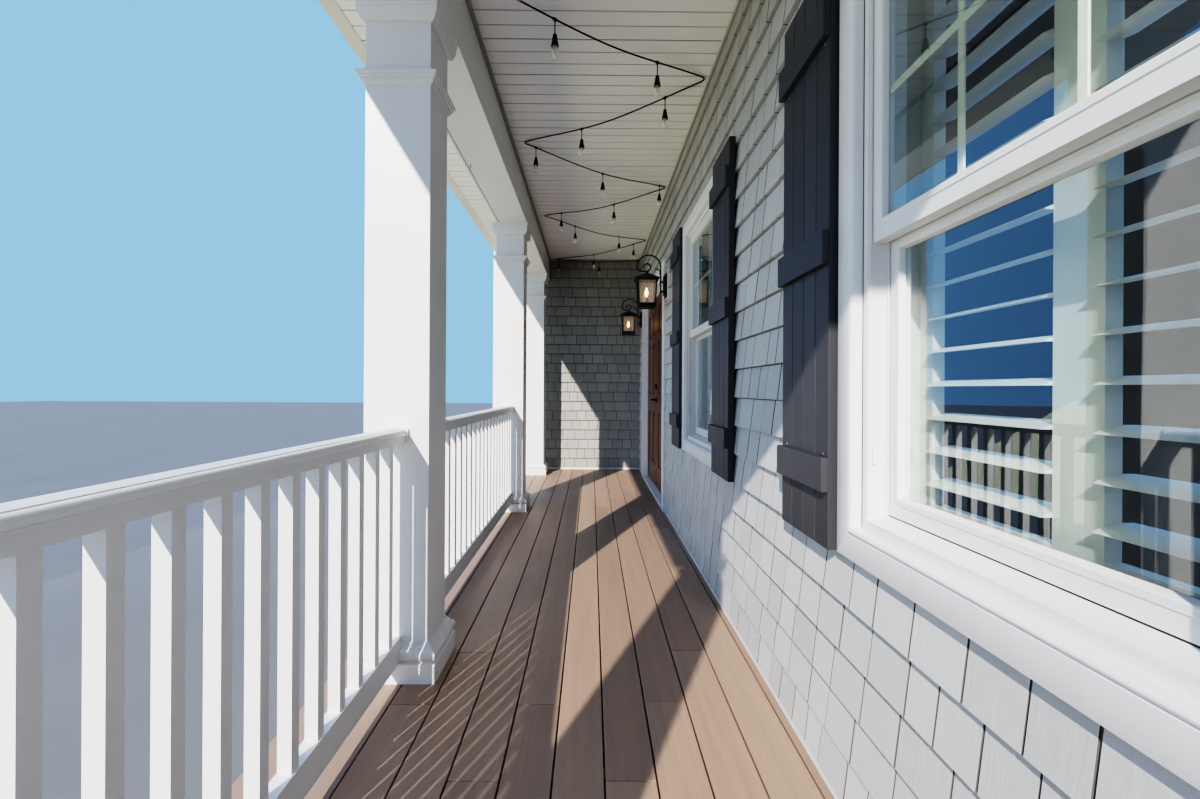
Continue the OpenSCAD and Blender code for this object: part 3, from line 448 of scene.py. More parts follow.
# Steps: two boards to a tread, of the same composite, screwed down over white risers. Their edges
# are eased a little more than the deck's.
TREAD_LOW, TREAD_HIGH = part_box("step_treads")
RISERS = 3
TREAD_RUN = 0.279
TREAD_BOARD_W = 0.1495
riser_h = DECK_Z / RISERS
steps = bmesh.new()
steps_tone = steps.faces.layers.float.new("tone")
for step in range(1, RISERS):
    for board in (0, 1):
        front = TREAD_LOW.y + (step - 1) * TREAD_RUN + board * (TREAD_BOARD_W + BOARD_GAP)
        block(steps, (TREAD_LOW.x, front, step * riser_h - BOARD_T),
              (TREAD_HIGH.x, front + TREAD_BOARD_W, step * riser_h), random.random(), steps_tone)
eased_edges(steps, 0.0025, 2)
steps = piece("step_planks", steps, composite)
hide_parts("step_treads")

# Columns: square hollow wraps of painted board round a post, with crisp arrises that are just
# eased. They stand on the deck and carry the beam.
COLUMN_W = 0.241
COLUMN_OUT = 1.3795
COLUMNS = (0.394, 2.534, 5.424, 7.922)
BEAM_Z = 2.525
shafts = bmesh.new()
for along in COLUMNS:
    block(shafts, spot(along - COLUMN_W / 2, COLUMN_OUT + COLUMN_W / 2, 0),
          spot(along + COLUMN_W / 2, COLUMN_OUT - COLUMN_W / 2, BEAM_Z))
eased_edges(shafts, 0.0018, 2)
shafts = piece("column_wraps", shafts, trim_paint)
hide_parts("column_shafts")

# Beam: flat painted boards round the framing, butted over the columns. Where the flat underside meets
# the outer board, a thin dark strip stands for the shadow in the open joint: a painted shadow.
BEAM_LOW, BEAM_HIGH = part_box("front_beam")
BEAM_BUTT = 0.0014
BUTT_BACK = 0.004
beam = bmesh.new()
beam_ends = [BEAM_LOW.x, *(END_X + along - BUTT_BACK for along in COLUMNS[1:3]), BEAM_HIGH.x]
for start, end in zip(beam_ends, beam_ends[1:]):
    block(beam, (start + BEAM_BUTT / 2, BEAM_LOW.y, BEAM_LOW.z),
          (end - BEAM_BUTT / 2, BEAM_HIGH.y, BEAM_HIGH.z))
eased_edges(beam, 0.0025, 2)
beam = piece("beam_boards", beam, trim_paint)
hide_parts("front_beam")
# A thin dark strip along the underside, a painted shadow of the open joint.
joint_shadow_paint = plain_coat("joint_shadow_paint", {"Roughness": 0.9}, 30, (0.045, 0.043, 0.040), (0.085, 0.082, 0.076))
joint = bmesh.new()
block(joint, (BEAM_LOW.x + 0.003, BEAM_LOW.y + 0.018, BEAM_LOW.z - 0.0005),
      (BEAM_HIGH.x - 0.003, BEAM_LOW.y + 0.022, BEAM_LOW.z + 0.002))
piece("beam_joint_shadow", joint, joint_shadow_paint)

# Screw eyes: a shank with a collar at the thread and a flat ring below it, dulled by the weather.
# They are screwed into the underside of the beam.
SCREW_EYES = ((3.95, 1.452), (6.30, 1.452), (5.25, 1.240), (2.10, 1.260))
WIRE_R = 0.0019
RING_R = 0.0085
RING_DROP = 0.0285
dulled = plain_coat("dulled_metal", {"Metallic": 0.7}, 90, (0.05, 0.045, 0.04), (0.13, 0.12, 0.11))
dulled.look({"Roughness": dulled.amount(dulled.grain(160), 0.45, 0.65)})
eyes = bmesh.new()
for along, out in SCREW_EYES:
    foot = spot(along, out, BEAM_Z)
    turned(eyes, [(0.0, 0.004), (0.0045, 0.003), (0.0045, -0.001), (0.0020, -0.002), (WIRE_R, -0.020),
                  (0.0, -0.021)], foot, 8)
    wire_at = foot + Vector((RING_R, 0, -RING_DROP))
    wire_lie = Matrix.Translation(wire_at) @ Matrix.Rotation(math.pi / 2, 4, "X")
    wire = bmesh.ops.create_circle(eyes, segments=8, radius=WIRE_R, matrix=wire_lie)["verts"]
    rim = list({line for vert in wire for line in vert.link_edges})
    bmesh.ops.spin(eyes, geom=wire + rim, cent=foot - Vector((0, 0, RING_DROP)), axis=(0, 1, 0),
                   angle=math.tau, steps=20, use_merge=True)
piece("screw_eyes", eyes, dulled, smooth=50)

# Ceiling hooks: bent rod with a zinc plating that shows its spangle. They are screwed up through
# the ceiling, and the light string's cord lies in them.
zinc = Finish("zinc_plate", {"Metallic": 1.0})
spangle = zinc.grain(120, detail=3)
zinc.look({"Base Color": zinc.shades(spangle, (0.30, 0.29, 0.27), (0.52, 0.51, 0.49)),
           "Roughness": zinc.amount(spangle, 0.32, 0.55)})
dress(zinc, "string_mounts")

# Ceiling and soffit: off-white vinyl panels of three narrow slats that run across the porch, with
# a shallow V between the slats and an open joint between the panels.
CEIL_LOW, CEIL_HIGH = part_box("porch_ceiling")
SOFFIT_LOW, SOFFIT_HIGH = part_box("eave_soffit")
CEILING_SLAT = 0.107
SOFFIT_SLAT = 0.114
PANEL_SLATS = 3
SLAT_GAP = 0.0062
PANEL_GAP = 0.0070
SLAT_DROP = 0.009
# Shares of painted shade on the slat ends in a V and in a panel joint.
V_SHADE = 0.60
JOINT_SHADE = 0.95
vinyl = Finish("soffit_vinyl", {"Specular IOR Level": 0.4})
faint = vinyl.grain(1.7, detail=5)
emboss = vinyl.grain(85, (1, 0.06, 1), 4)
slat_shade = vinyl.amount(vinyl.tone(), 0.0, 0.52)
clouded = vinyl.shades(faint, (0.84, 0.83, 0.80), (0.885, 0.875, 0.85))
embossed = vinyl.shades(emboss, (0.80, 0.79, 0.76), (0.87, 0.86, 0.83))
vinyl.look({
    "Base Color": vinyl.mixed(slat_shade, vinyl.mixed(0.3, clouded, embossed), (0.16, 0.15, 0.13, 1)),
    "Roughness": vinyl.amount(emboss, 0.42, 0.58),
    "Normal": vinyl.relief(emboss, 0.0005)})
dress(vinyl, "porch_ceiling", "eave_soffit")
soffit_end = Vector((SOFFIT_HIGH.x, BEAM_LOW.y, SOFFIT_HIGH.z))
gable_start = Vector((BEAM_HIGH.x, BEAM_LOW.y, SOFFIT_LOW.z))
for name, step, low, high in (("ceiling_slats", CEILING_SLAT, CEIL_LOW, CEIL_HIGH),
                              ("soffit_slats", SOFFIT_SLAT, SOFFIT_LOW, soffit_end),
                              ("gable_soffit_slats", SOFFIT_SLAT, gable_start, SOFFIT_HIGH)):
    slats = bmesh.new()
    slats_tone = slats.faces.layers.float.new("tone")
    for i in range(int((high.x - low.x - 0.022) / step) + 1):
        along = low.x + 0.002 + i * step
        place = i % PANEL_SLATS
        end = min(along + step - (PANEL_GAP if place == PANEL_SLATS - 1 else SLAT_GAP), high.x - 0.001)
        verts = block(slats, (along, low.y + 0.001, low.z - SLAT_DROP),
                      (end, high.y - 0.001, low.z + 0.002), 0.0, slats_tone)
        # Slat ends that face a V or a panel joint get the painted shade.
        for face in faces_of(verts):
            face.normal_update()
            if abs(face.normal.x) > 0.9:
                face[slats_tone] = JOINT_SHADE if face.normal.x * (-1, 0, 1)[place] > 0 else V_SHADE
    eased_edges(slats, 0.0035, 2)
    piece(name, slats, vinyl)

# Eave: a fascia of cream coated metal, with the gutter pressed in one with it. It is nailed to the
# ends of the trusses.
coated = Finish("cream_coating", {"Specular IOR Level": 0.5})
film = coated.grain(1.1, (0.4, 1, 1), 5)
coated.look({
    "Base Color": coated.shades(film, (0.70, 0.67, 0.585), (0.78, 0.755, 0.68)),
    "Roughness": coated.amount(film, 0.30, 0.48),
    "Normal": coated.relief(coated.grain(240, detail=2), 0.0002)})
dress(coated, "fascia_boards")

# Roof: mineral-faced shingle strips, nailed in courses up the slope. Each tab has its own shade, and
# its upper edge dips under the next course.
ROOF_LOW, ROOF_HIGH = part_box("roof_shingles")
ROOF_RISE = 0.25
COURSE = 0.140
COURSE_LAP = 0.03
TAB_W = 0.305
TAB_T = 0.005
TAB_GAP = 0.004
TAB_DIP = 0.03
mineral = Finish("mineral_shingles", {"Specular IOR Level": 0.2})
granules = mineral.add("TexVoronoi", {"Vector": mineral.place, "Scale": 420.0})
speckle = mineral.grain(260, detail=3)
tab_shade = mineral.mixed(mineral.tone(), (0.045, 0.045, 0.047, 1), (0.120, 0.118, 0.115, 1))
speckled = mineral.shades(speckle, (0.02, 0.02, 0.02), (0.20, 0.195, 0.19), 0.35, 0.65)
mineral.look({
    "Base Color": mineral.mixed(0.5, tab_shade, speckled),
    "Roughness": mineral.amount(speckle, 0.82, 0.98),
    "Normal": mineral.relief(granules, 0.0012)})
slope = math.atan(ROOF_RISE)
run = (ROOF_HIGH.y - ROOF_LOW.y) / math.cos(slope)
on_roof = Matrix.Translation((0, ROOF_LOW.y, ROOF_LOW.z + 0.012)) @ Matrix.Rotation(slope, 4, "X")
random.seed(17)
tabs = bmesh.new()
tabs_tone = tabs.faces.layers.float.new("tone")
for course in range(int(run / COURSE) + 1):
    low_run = course * COURSE
    high_run = min(low_run + COURSE + COURSE_LAP, run - 0.002)
    if high_run - low_run < 0.02:
        continue
    dip = (Matrix.Translation((0, low_run, 0.003)) @ Matrix.Rotation(-TAB_DIP, 4, "X")
           @ Matrix.Translation((0, -low_run, 0)))
    along = ROOF_LOW.x - (course % 2) * TAB_W / 2
    while along < ROOF_HIGH.x:
        start, end = max(along, ROOF_LOW.x), min(along + TAB_W - TAB_GAP, ROOF_HIGH.x)
        if end - start > 0.01:
            verts = block(tabs, (start, low_run, 0.0), (end, high_run, TAB_T), random.random(), tabs_tone)
            bmesh.ops.transform(tabs, matrix=on_roof @ dip, verts=verts)
        along += TAB_W
dress(mineral, "roof_shingles")
piece("roof_tabs", tabs, mineral)

# Shingle siding: long moulded panels, hooked over each other in straight courses. Each panel leans
# out to a deep butt and has shingles of different widths, with a groove between them and a fine
# upright grain. It runs in under the casings. The panel in the grooves and creases is painted dark,
# and the colour darkens towards the ceiling: both are painted shade.
WALL_L = 8.6945
END_WALL_L = WALL_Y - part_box("end_wall")[0].y - 0.090
SIDING_TOP = 2.797
FIRST_BUTT = 0.025
LAP = 0.127
HEAD_LAP = 0.004
BUTT_T = 0.0185
LEAN = 0.0160
GROOVE_D = 0.0050
GROOVE_W = 0.0052
CREASE_H = 0.0080
SHINGLE_WIDTHS = (0.102, 0.118, 0.127, 0.140, 0.152, 0.165)
WINDOWS = (6.725, 4.200)
ENTRY = 1.597
# Tone of the panel in the grooves and creases, which gets a dark colour as painted shade.
GROOVE_SHADE = 0.045


def shingle_finish(name, shade, groove, dark, light, dust, ceiling_shade):
    """A shingle finish with a grain that runs up the wall. The groove tone marks the panel in the grooves,
    which gets a dark colour: painted shade. Towards the ceiling the colour is darker by the given
    share: painted shade."""
    made = Finish(name, {"Specular IOR Level": 0.35})
    tone = made.tone()
    upright = made.grain(150, (1, 1, 0.035), 5, 0.3)
    broad = made.grain(42, (1, 1, 0.10), 3, 0.6)
    weather = made.grain(1.6, detail=4)
    face = made.ramp(tone, (0.0, dark), (GROOVE_SHADE - 0.015, groove), (GROOVE_SHADE + 0.015, groove),
                     (0.10, dark), (1.0, light))
    streaks = made.shades(upright, (shade, shade, shade), (1.0, 1.0, 1.0), 0.30, 0.62)
    lines = made.mixed(0.22, face, streaks, "MULTIPLY")
    # Painted shade: the colour darkens towards the ceiling by the given share, except in the grooves.
    height = made.add("SeparateXYZ", {"Vector": made.place}).outputs["Z"]
    shade_under_ceiling = made.add("MapRange", {"Value": height, "From Min": DECK_Z + 1.7,
                                          "From Max": DECK_Z + 2.8, "To Min": 0.0, "To Max": ceiling_shade})
    on_shingles = made.add("Math", {0: tone, 1: 0.01}, operation="GREATER_THAN")
    painted_ceiling_shade = made.add("Math", {0: shade_under_ceiling, 1: on_shingles}, operation="MULTIPLY")
    dusted = made.mixed(made.amount(weather, 0.0, 0.16), lines, dust)
    made.look({
        "Base Color": made.mixed(painted_ceiling_shade, dusted, (0.090, 0.090, 0.078, 1)),
        "Roughness": made.amount(broad, 0.50, 0.70),
        "Normal": made.relief(upright, 0.0005, made.relief(broad, 0.0006))})
    return made


def shingle_courses(bm, length, gaps, outward, butt_shade=False):
    """Courses of shingles on a wall face, leaving out the gaps. outward gives a point of that
    face from along, how far it stands out, and up."""
    layer = bm.faces.layers.float.new("tone")
    face_out = (outward(0, 1, 0) - outward(0, 0, 0)).normalized()
    course_run = (outward(1, 0, 0) - outward(0, 0, 0)).normalized()
    base = outward(0, 0, 0).dot(face_out)

    def wedge(start, end, butt, head, thick, tone):
        corners = outward(start, 0.0, butt), outward(end, thick, head)
        verts = block(bm, map(min, zip(*corners)), map(max, zip(*corners)), tone, layer)
        for face in faces_of(verts):
            face.normal_update()
            # Shingle ends at the grooves get the dark groove colour, and so do the undersides of the butts
            # where asked: painted shade.
            if abs(face.normal.dot(course_run)) > 0.9 or (butt_shade and face.normal.z < -0.9):
                face[layer] = GROOVE_SHADE
        for vert in verts:
            if vert.co.z > (butt + head) / 2 + DECK_Z and vert.co.dot(face_out) > base + 0.003:
                vert.co -= face_out * min(LEAN * (head - butt) / (LAP + HEAD_LAP), thick - 0.0002)

    last_joints = []
    for course in range(math.ceil((SIDING_TOP - FIRST_BUTT) / LAP)):
        butt = FIRST_BUTT + course * LAP
        head = min(butt + LAP + HEAD_LAP, SIDING_TOP)
        joints = []
        runs = [(0.0, length)]
        for start, end, bottom, ceiling in gaps:
            if butt + LAP > bottom + 0.03 and butt < ceiling - 0.03:
                cut = [part for a, b in runs for part in ((a, min(b, start)), (max(a, end), b))]
                runs = [(a, b) for a, b in cut if b - a > 0.004]
        for start, end in runs:
            # The panel behind the shingles shows in the grooves and creases; it gets the dark groove
            # colour, a painted shade.
            wedge(start, end, butt + 0.0012, head, BUTT_T - GROOVE_D, GROOVE_SHADE)
            along = start
            while along < end - 0.004:
                width = random.choice(SHINGLE_WIDTHS) + random.uniform(-0.006, 0.006)
                if any(abs(along + width - joint) < 0.020 for joint in last_joints):
                    width += 0.034
                stop = min(along + width, end)
                if end - stop < 0.04:
                    stop = end
                joints.append(stop)
                near = along + (GROOVE_W / 2 if along > start else 0)
                far = stop - (GROOVE_W / 2 if stop < end else 0)
                thick = BUTT_T + random.uniform(-0.0008, 0.0008)
                wedge(near, far, butt, head - CREASE_H, thick, random.uniform(0.1, 1.0))
                along = stop
        last_joints = joints


# The last value of each finish is the share of painted shade under the ceiling.
siding = shingle_finish("grey_shingle_siding", 0.80, groove=(0.085, 0.088, 0.085),
                        dark=(0.480, 0.485, 0.480), light=(0.565, 0.570, 0.563),
                        dust=(0.55, 0.555, 0.548, 1), ceiling_shade=0.46)
end_siding = shingle_finish("weathered_shingle_siding", 0.76, groove=(0.070, 0.072, 0.066),
                            dark=(0.285, 0.290, 0.278), light=(0.335, 0.341, 0.327),
                            dust=(0.32, 0.325, 0.312, 1), ceiling_shade=0.22)
dress(siding, "front_wall", "wall_over_entry", "wall_by_entry", "gable_panel")
dress(end_siding, "end_wall")
random.seed(2)
window_gaps = [(centre - 0.48, centre + 0.48, 0.70, 2.17) for centre in WINDOWS]
entry_gap = (ENTRY - 1.0, ENTRY + 1.0, -1.0, 2.17)
shingles = bmesh.new()
shingle_courses(shingles, WALL_L, window_gaps + [entry_gap], spot)
eased_edges(shingles, 0.0008, 1)
piece("house_wall_shingles", shingles, siding)
shingles = bmesh.new()
# On the end wall the undersides of the butts get the dark groove colour too, a painted shade.
shingle_courses(shingles, END_WALL_L, [], lambda along, out, up: spot(out, along, up), butt_shade=True)
eased_edges(shingles, 0.0008, 1)
piece("end_wall_shingles", shingles, end_siding)

# Edges of the siding: a narrow channel of grey vinyl along the ceiling, and a white starter strip
# along the deck, which the first course hooks over.
STRIP_T = 0.016
STRIP_LOW, STRIP_HIGH = 0.001, FIRST_BUTT - 0.001
ENTRY_REACH = 1.068
STRIP_OUT = 1.602
channel = plain_coat("grey_vinyl_channel", {"Specular IOR Level": 0.4}, 2.0,
                     (0.33, 0.33, 0.30), (0.38, 0.38, 0.345))
channel.look({"Roughness": channel.amount(channel.grain(30), 0.45, 0.60)})
dress(channel, "ceiling_trim")
strip = bmesh.new()
block(strip, spot(0, STRIP_T, STRIP_LOW), spot(ENTRY - ENTRY_REACH, 0, STRIP_HIGH))
block(strip, spot(ENTRY + ENTRY_REACH, STRIP_T, STRIP_LOW), spot(WALL_L, 0, STRIP_HIGH))
block(strip, spot(0, STRIP_OUT, STRIP_LOW), spot(STRIP_T, STRIP_T, STRIP_HIGH))
eased_edges(strip, 0.0015, 2)
piece("siding_starter_strip", strip, trim_paint)

# Window casings: flat white boards mitred at the corners, with a groove and a small bead round the
# inner edge, nailed over the edge of the siding.
CASING_HALF = 0.535
CASING_LOW, CASING_HIGH = 0.660, 2.208
CASING_OUTLINE = [
    (0.0, 0.0), (0.0, 0.0248), (0.0006, 0.0264), (0.0022, 0.027), (0.0608, 0.027), (0.0618, 0.0262),
    (0.0625, 0.0240), (0.0640, 0.0240), (0.0650, 0.0268), (0.0668, 0.0287), (0.0700, 0.0297),
    (0.0735, 0.0290), (0.0765, 0.0268), (0.0788, 0.0232), (0.0800, 0.0185), (0.0800, 0.0)]


def mitred_frame(bm, centre, half_width, low, high, outline):
    """Four boards mitred at their corners. The outline is a closed line of (distance in from the
    outer edge, distance out from the wall)."""
    corners = [Vector((centre - half_width, low)), Vector((centre + half_width, low)),
               Vector((centre + half_width, high)), Vector((centre - half_width, high))]
    for corner, following in zip(corners, corners[1:] + corners[:1]):
        way = (following - corner).normalized()
        inward = Vector((-way.y, way.x))
        ends = []
        for at, sign in ((corner, 1), (following, -1)):
            line = []
            for inset, out in outline:
                point = at + way * sign * (inset + 0.0004) + inward * inset
                line.append(bm.verts.new(spot(point.x, out, point.y)))
            ends.append(line)
        first, last = ends
        for j in range(len(outline)):
            k = (j + 1) % len(outline)
            bm.faces.new((first[j], last[j], last[k], first[k]))
        bm.faces.new(first)
        bm.faces.new(list(reversed(last)))


casings = bmesh.new()
for centre in WINDOWS:
    mitred_frame(casings, centre, CASING_HALF, CASING_LOW, CASING_HIGH, CASING_OUTLINE)
casings = piece("casing_boards", casings, trim_paint, smooth=28)
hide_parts("window_casings")

# Window frames and sashes: welded white vinyl profiles, with sloped glazing beads round the glass,
# and guide ribs and a small stop on each jamb.
BEAD_HALF = 0.403
BEAD_REACH = 0.013
JAMB_HALF = 0.4325
# The face of each sash, out from the wall, with the foot and the head of its glass.
SASHES = ((-0.011, 1.472, 2.059), (-0.052, 0.821, 1.408))
# The front and back of each rib, how far it stands off the jamb, and its foot and head.
JAMB_RIBS = ((-0.0035, -0.0085, 0.004, 0.780, 2.104), (-0.0465, -0.0505, 0.006, 0.776, 2.104),
             (-0.0255, -0.0285, 0.003, 0.778, 1.422), (-0.0120, -0.0220, 0.006, 0.898, 0.941))
window_vinyl = Finish("window_vinyl", {"Specular IOR Level": 0.5})
film = window_vinyl.grain(2.4, detail=5)
window_vinyl.look({
    "Base Color": window_vinyl.shades(film, (0.70, 0.705, 0.70), (0.775, 0.775, 0.765)),
    "Roughness": window_vinyl.amount(film, 0.24, 0.38),
    "Normal": window_vinyl.relief(window_vinyl.grain(300, detail=2), 0.00012)})
dress(window_vinyl, "window_frames", "window_sashes")


def upright_strip(bm, edges, outs, ups):
    """An upright strip between two places along the wall, whichever of them comes first."""
    block(bm, spot(min(edges), outs[0], ups[0]), spot(max(edges), outs[1], ups[1]))


profiles = bmesh.new()
for centre in WINDOWS:
    for face, low, high in SASHES:
        mitred_frame(profiles, centre, BEAD_HALF, low - BEAD_REACH, high + BEAD_REACH, [
            (0.0, face - 0.002), (0.0, face + 0.0010), (0.0010, face + 0.0018), (0.0126, face + 0.0018),
            (0.0150, face + 0.0002), (0.0190, face - 0.0125), (0.0190, face - 0.0135),
            (0.0130, face - 0.0135), (0.0125, face - 0.002)])
    for way in (-1, 1):
        jamb = centre + way * JAMB_HALF
        for front, back, reach, low, high in JAMB_RIBS:
            upright_strip(profiles, (jamb, jamb - way * reach), (front, back), (low, high))
piece("window_profiles", profiles, window_vinyl, smooth=28)

# Seals: black rubber, pressed in under the lower sash and down both sides of the frame, behind the
# casing's edge.
rubber = plain_coat("black_seal", {"Roughness": 0.7}, 200, (0.012, 0.012, 0.012), (0.030, 0.030, 0.029))
seals = bmesh.new()
for centre in WINDOWS:
    block(seals, spot(centre - 0.430, -0.0514, 0.7746), spot(centre + 0.430, -0.0600, 0.7776))
    for way in (-1, 1):
        upright_strip(seals, (centre + way * 0.4552, centre + way * 0.4528), (0.0012, -0.0020),
                      (0.742, 2.126))
eased_edges(seals, 0.0006)
piece("sash_seals", seals, rubber, smooth=40)

# Window bars: flat vinyl bars between the two panes of the upper sash, two upright and one across,
# so it has six lights.
BAR_W = 0.018
BAR_OUT = 0.132
bars = bmesh.new()
for centre in WINDOWS:
    for along in (centre - BAR_OUT, centre + BAR_OUT):
        block(bars, spot(along - BAR_W / 2, -0.0304, 1.466), spot(along + BAR_W / 2, -0.0350, 2.064))
    block(bars, spot(centre - 0.392, -0.0308, 1.759), spot(centre + 0.392, -0.0346, 1.759 + BAR_W))
eased_edges(bars, 0.0012, 2)
piece("window_bars", bars, window_vinyl)

# Glass: clear float glass with a faint green cast and a slight wave, with the strong reflection of
# double panes. A dark sheet well behind it, seen only through the glass, stands for the unlit room.
clear_glass = Finish("clear_glass", {"Base Color": (0.76, 0.86, 0.84, 1), "Roughness": 0.0, "IOR": 1.75,
                                     "Transmission Weight": 1.0})
wave = clear_glass.grain(1.8, detail=1)
clear_glass.look({"Normal": clear_glass.relief(wave, 0.0008)})
dress(clear_glass, "window_glass")
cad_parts["window_glass"].visible_shadow = False
unlit = plain_coat("unlit_room", {"Roughness": 0.9}, 0.9, (0.012, 0.013, 0.014), (0.030, 0.031, 0.032))
room = bmesh.new()
block(room, spot(-0.15, -0.80, -0.50), spot(8.70, -0.82, 3.10))
room = formed("room_sheet", room, unlit)
room.visible_camera = room.visible_glossy = False
room.visible_diffuse = room.visible_shadow = False

# Inside shutters: painted wood frames with tilted louvers, hung close behind the glass. The paint
# shows a faint grain along the louvers.
# The paint is darker than the louvers' own white: painted shade for the light that the glass holds back.
louver_paint = Finish("inside_shutter_paint", {"Specular IOR Level": 0.4})
film = louver_paint.grain(3.0, detail=4)
louver_grain = louver_paint.grain(70, (0.05, 1, 1), 3)
louver_paint.look({
    "Base Color": louver_paint.shades(film, (0.45, 0.46, 0.45), (0.51, 0.52, 0.51)),
    "Roughness": louver_paint.amount(film, 0.32, 0.46),
    "Normal": louver_paint.relief(louver_grain, 0.0002)})
dress(louver_paint, "inside_shutters")

# Board shutters: four charcoal boards side by side with a V between them, under three battens that
# are screwed on, and on blocks at the wall. The screws show above and below the battens.
SHUTTER_OUT = 0.544
SHUTTER_W = 0.355
SHUTTER_BOARDS = 4
SHUTTER_LOW, SHUTTER_HIGH = 0.660, 2.216
BOARD_FACE = 0.046
BATTENS = (0.854, 1.448, 2.042)
BATTEN_HALF = 0.045
BLOCK_HALF = 0.030
BLOCK_INSET = 0.040
SCREW_PLACES = [(along, up) for along in (0.046, 0.324) for up in (0.907, 1.990)]
SCREW_HEAD = (0.0042, 0.0018, 0.0042)
charcoal = Finish("charcoal_paint", {"Specular IOR Level": 0.28})
upright = charcoal.grain(60, (1, 1, 0.05), 5, 0.4)
chalk = charcoal.grain(3.5, (1, 1, 0.5), 6)
board_shade = charcoal.mixed(charcoal.tone(), (0.054, 0.055, 0.061, 1), (0.068, 0.069, 0.076, 1))
chalky = charcoal.amount(chalk, 0.0, 0.25)
charcoal.look({
    "Base Color": charcoal.mixed(chalky, board_shade, (0.060, 0.062, 0.064, 1)),
    "Roughness": charcoal.amount(chalk, 0.40, 0.60),
    "Normal": charcoal.relief(upright, 0.0006)})
random.seed(7)
pitch = SHUTTER_W / SHUTTER_BOARDS
screws = bmesh.new()
for name, centre, node in (("near_board_shutters", WINDOWS[0], "near_shutters"),
                           ("far_board_shutters", WINDOWS[1], "far_shutters")):
    boards = bmesh.new()
    boards_tone = boards.faces.layers.float.new("tone")
    for low in (centre - SHUTTER_OUT - SHUTTER_W, centre + SHUTTER_OUT):
        for i in range(SHUTTER_BOARDS):
            start, end = low + i * pitch + 0.0008, low + (i + 1) * pitch - 0.0008
            block(boards, spot(start, BOARD_FACE, SHUTTER_LOW), spot(end, 0.0192, SHUTTER_HIGH),
                  random.random(), boards_tone)
        for middle in BATTENS:
            block(boards, spot(low, 0.064, middle - BATTEN_HALF),
                  spot(low + SHUTTER_W, 0.0457, middle + BATTEN_HALF), random.random(), boards_tone)
            block(boards, spot(low + BLOCK_INSET, 0.0195, middle - BLOCK_HALF),
                  spot(low + SHUTTER_W - BLOCK_INSET, 0.0, middle + BLOCK_HALF),
                  random.random(), boards_tone)
        for along, up in SCREW_PLACES:
            seat = Matrix.Translation(spot(low + along, BOARD_FACE + 0.0002, up))
            bmesh.ops.create_uvsphere(screws, u_segments=10, v_segments=6, radius=1,
                                      matrix=seat @ Matrix.Diagonal((*SCREW_HEAD, 1)))
    eased_edges(boards, 0.0022, 2)
    boards = piece(name, boards, charcoal)
    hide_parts(node)
piece("shutter_screws", screws, zinc, smooth=60)

# Entry doors: a pair of panelled wood doors with a red-brown stain and the grain upright, on three
# butt hinges each, with a dark bronze lever and lock on the far one.
stain = Finish("stained_wood", {"Specular IOR Level": 0.5})
figure = stain.grain(7, (1, 1, 0.09), 6, 1.4)
pores = stain.grain(130, (1, 1, 0.02), 4)
figured = stain.ramp(figure, (0.32, (0.070, 0.024, 0.011)), (0.55, (0.135, 0.052, 0.024)),
                     (0.75, (0.185, 0.080, 0.038)))
porous = stain.shades(pores, (0.050, 0.018, 0.009), (0.150, 0.060, 0.028), 0.35, 0.6)
stain.look({
    "Base Color": stain.mixed(0.4, figured, porous),
    "Roughness": stain.amount(figure, 0.26, 0.42),
    "Normal": stain.relief(pores, 0.0004)})
dress(stain, "far_door", "near_door")
bronze = Finish("dark_bronze", {"Metallic": 0.9})
wear = bronze.grain(28, detail=5)
bronze.look({
    "Base Color": bronze.shades(wear, (0.030, 0.024, 0.019), (0.075, 0.055, 0.038), 0.4, 0.75),
    "Roughness": bronze.amount(wear, 0.34, 0.52)})
dress(bronze, "door_handle")

# Lanterns: a cage of black powder-coated bars on a raised tray, under a low square roof with a
# finial, hung from a wrought arm with a scroll, over panes of seeded glass.
LANTERNS = [spot(ENTRY + aside, 0.194, 1.772) for aside in (-1.1905, 1.1905)]
BAR_HALF = 0.006
BAR_SPREAD = 0.009
CORNER = 0.069
CROWN_SHARE = 0.242
# Two blocks of one side: the rail under the roof, and the foot under the middle of the tray.
CAGE_SIDE = (((-0.084, 0.072, 0.228), (0.084, 0.084, 0.2415)),
             ((-0.0045, 0.065, 0.008), (0.0045, 0.074, 0.028)))
powder = Finish("black_powder_coat", {"Specular IOR Level": 0.45})
specks = powder.grain(55, detail=5)
powder.look({
    "Base Color": powder.shades(specks, (0.008, 0.008, 0.009), (0.020, 0.019, 0.019), low=0.35),
    "Roughness": powder.amount(specks, 0.34, 0.55),
    "Normal": powder.relief(powder.grain(700, detail=2), 0.0002)})
dress(powder, "lantern_brackets")


def cage_block(foot, reach, low, high):
    """A square block of the cage, which reaches the same way to every side of its middle."""
    return block(cages, foot + Vector((-reach, -reach, low)), foot + Vector((reach, reach, high)))


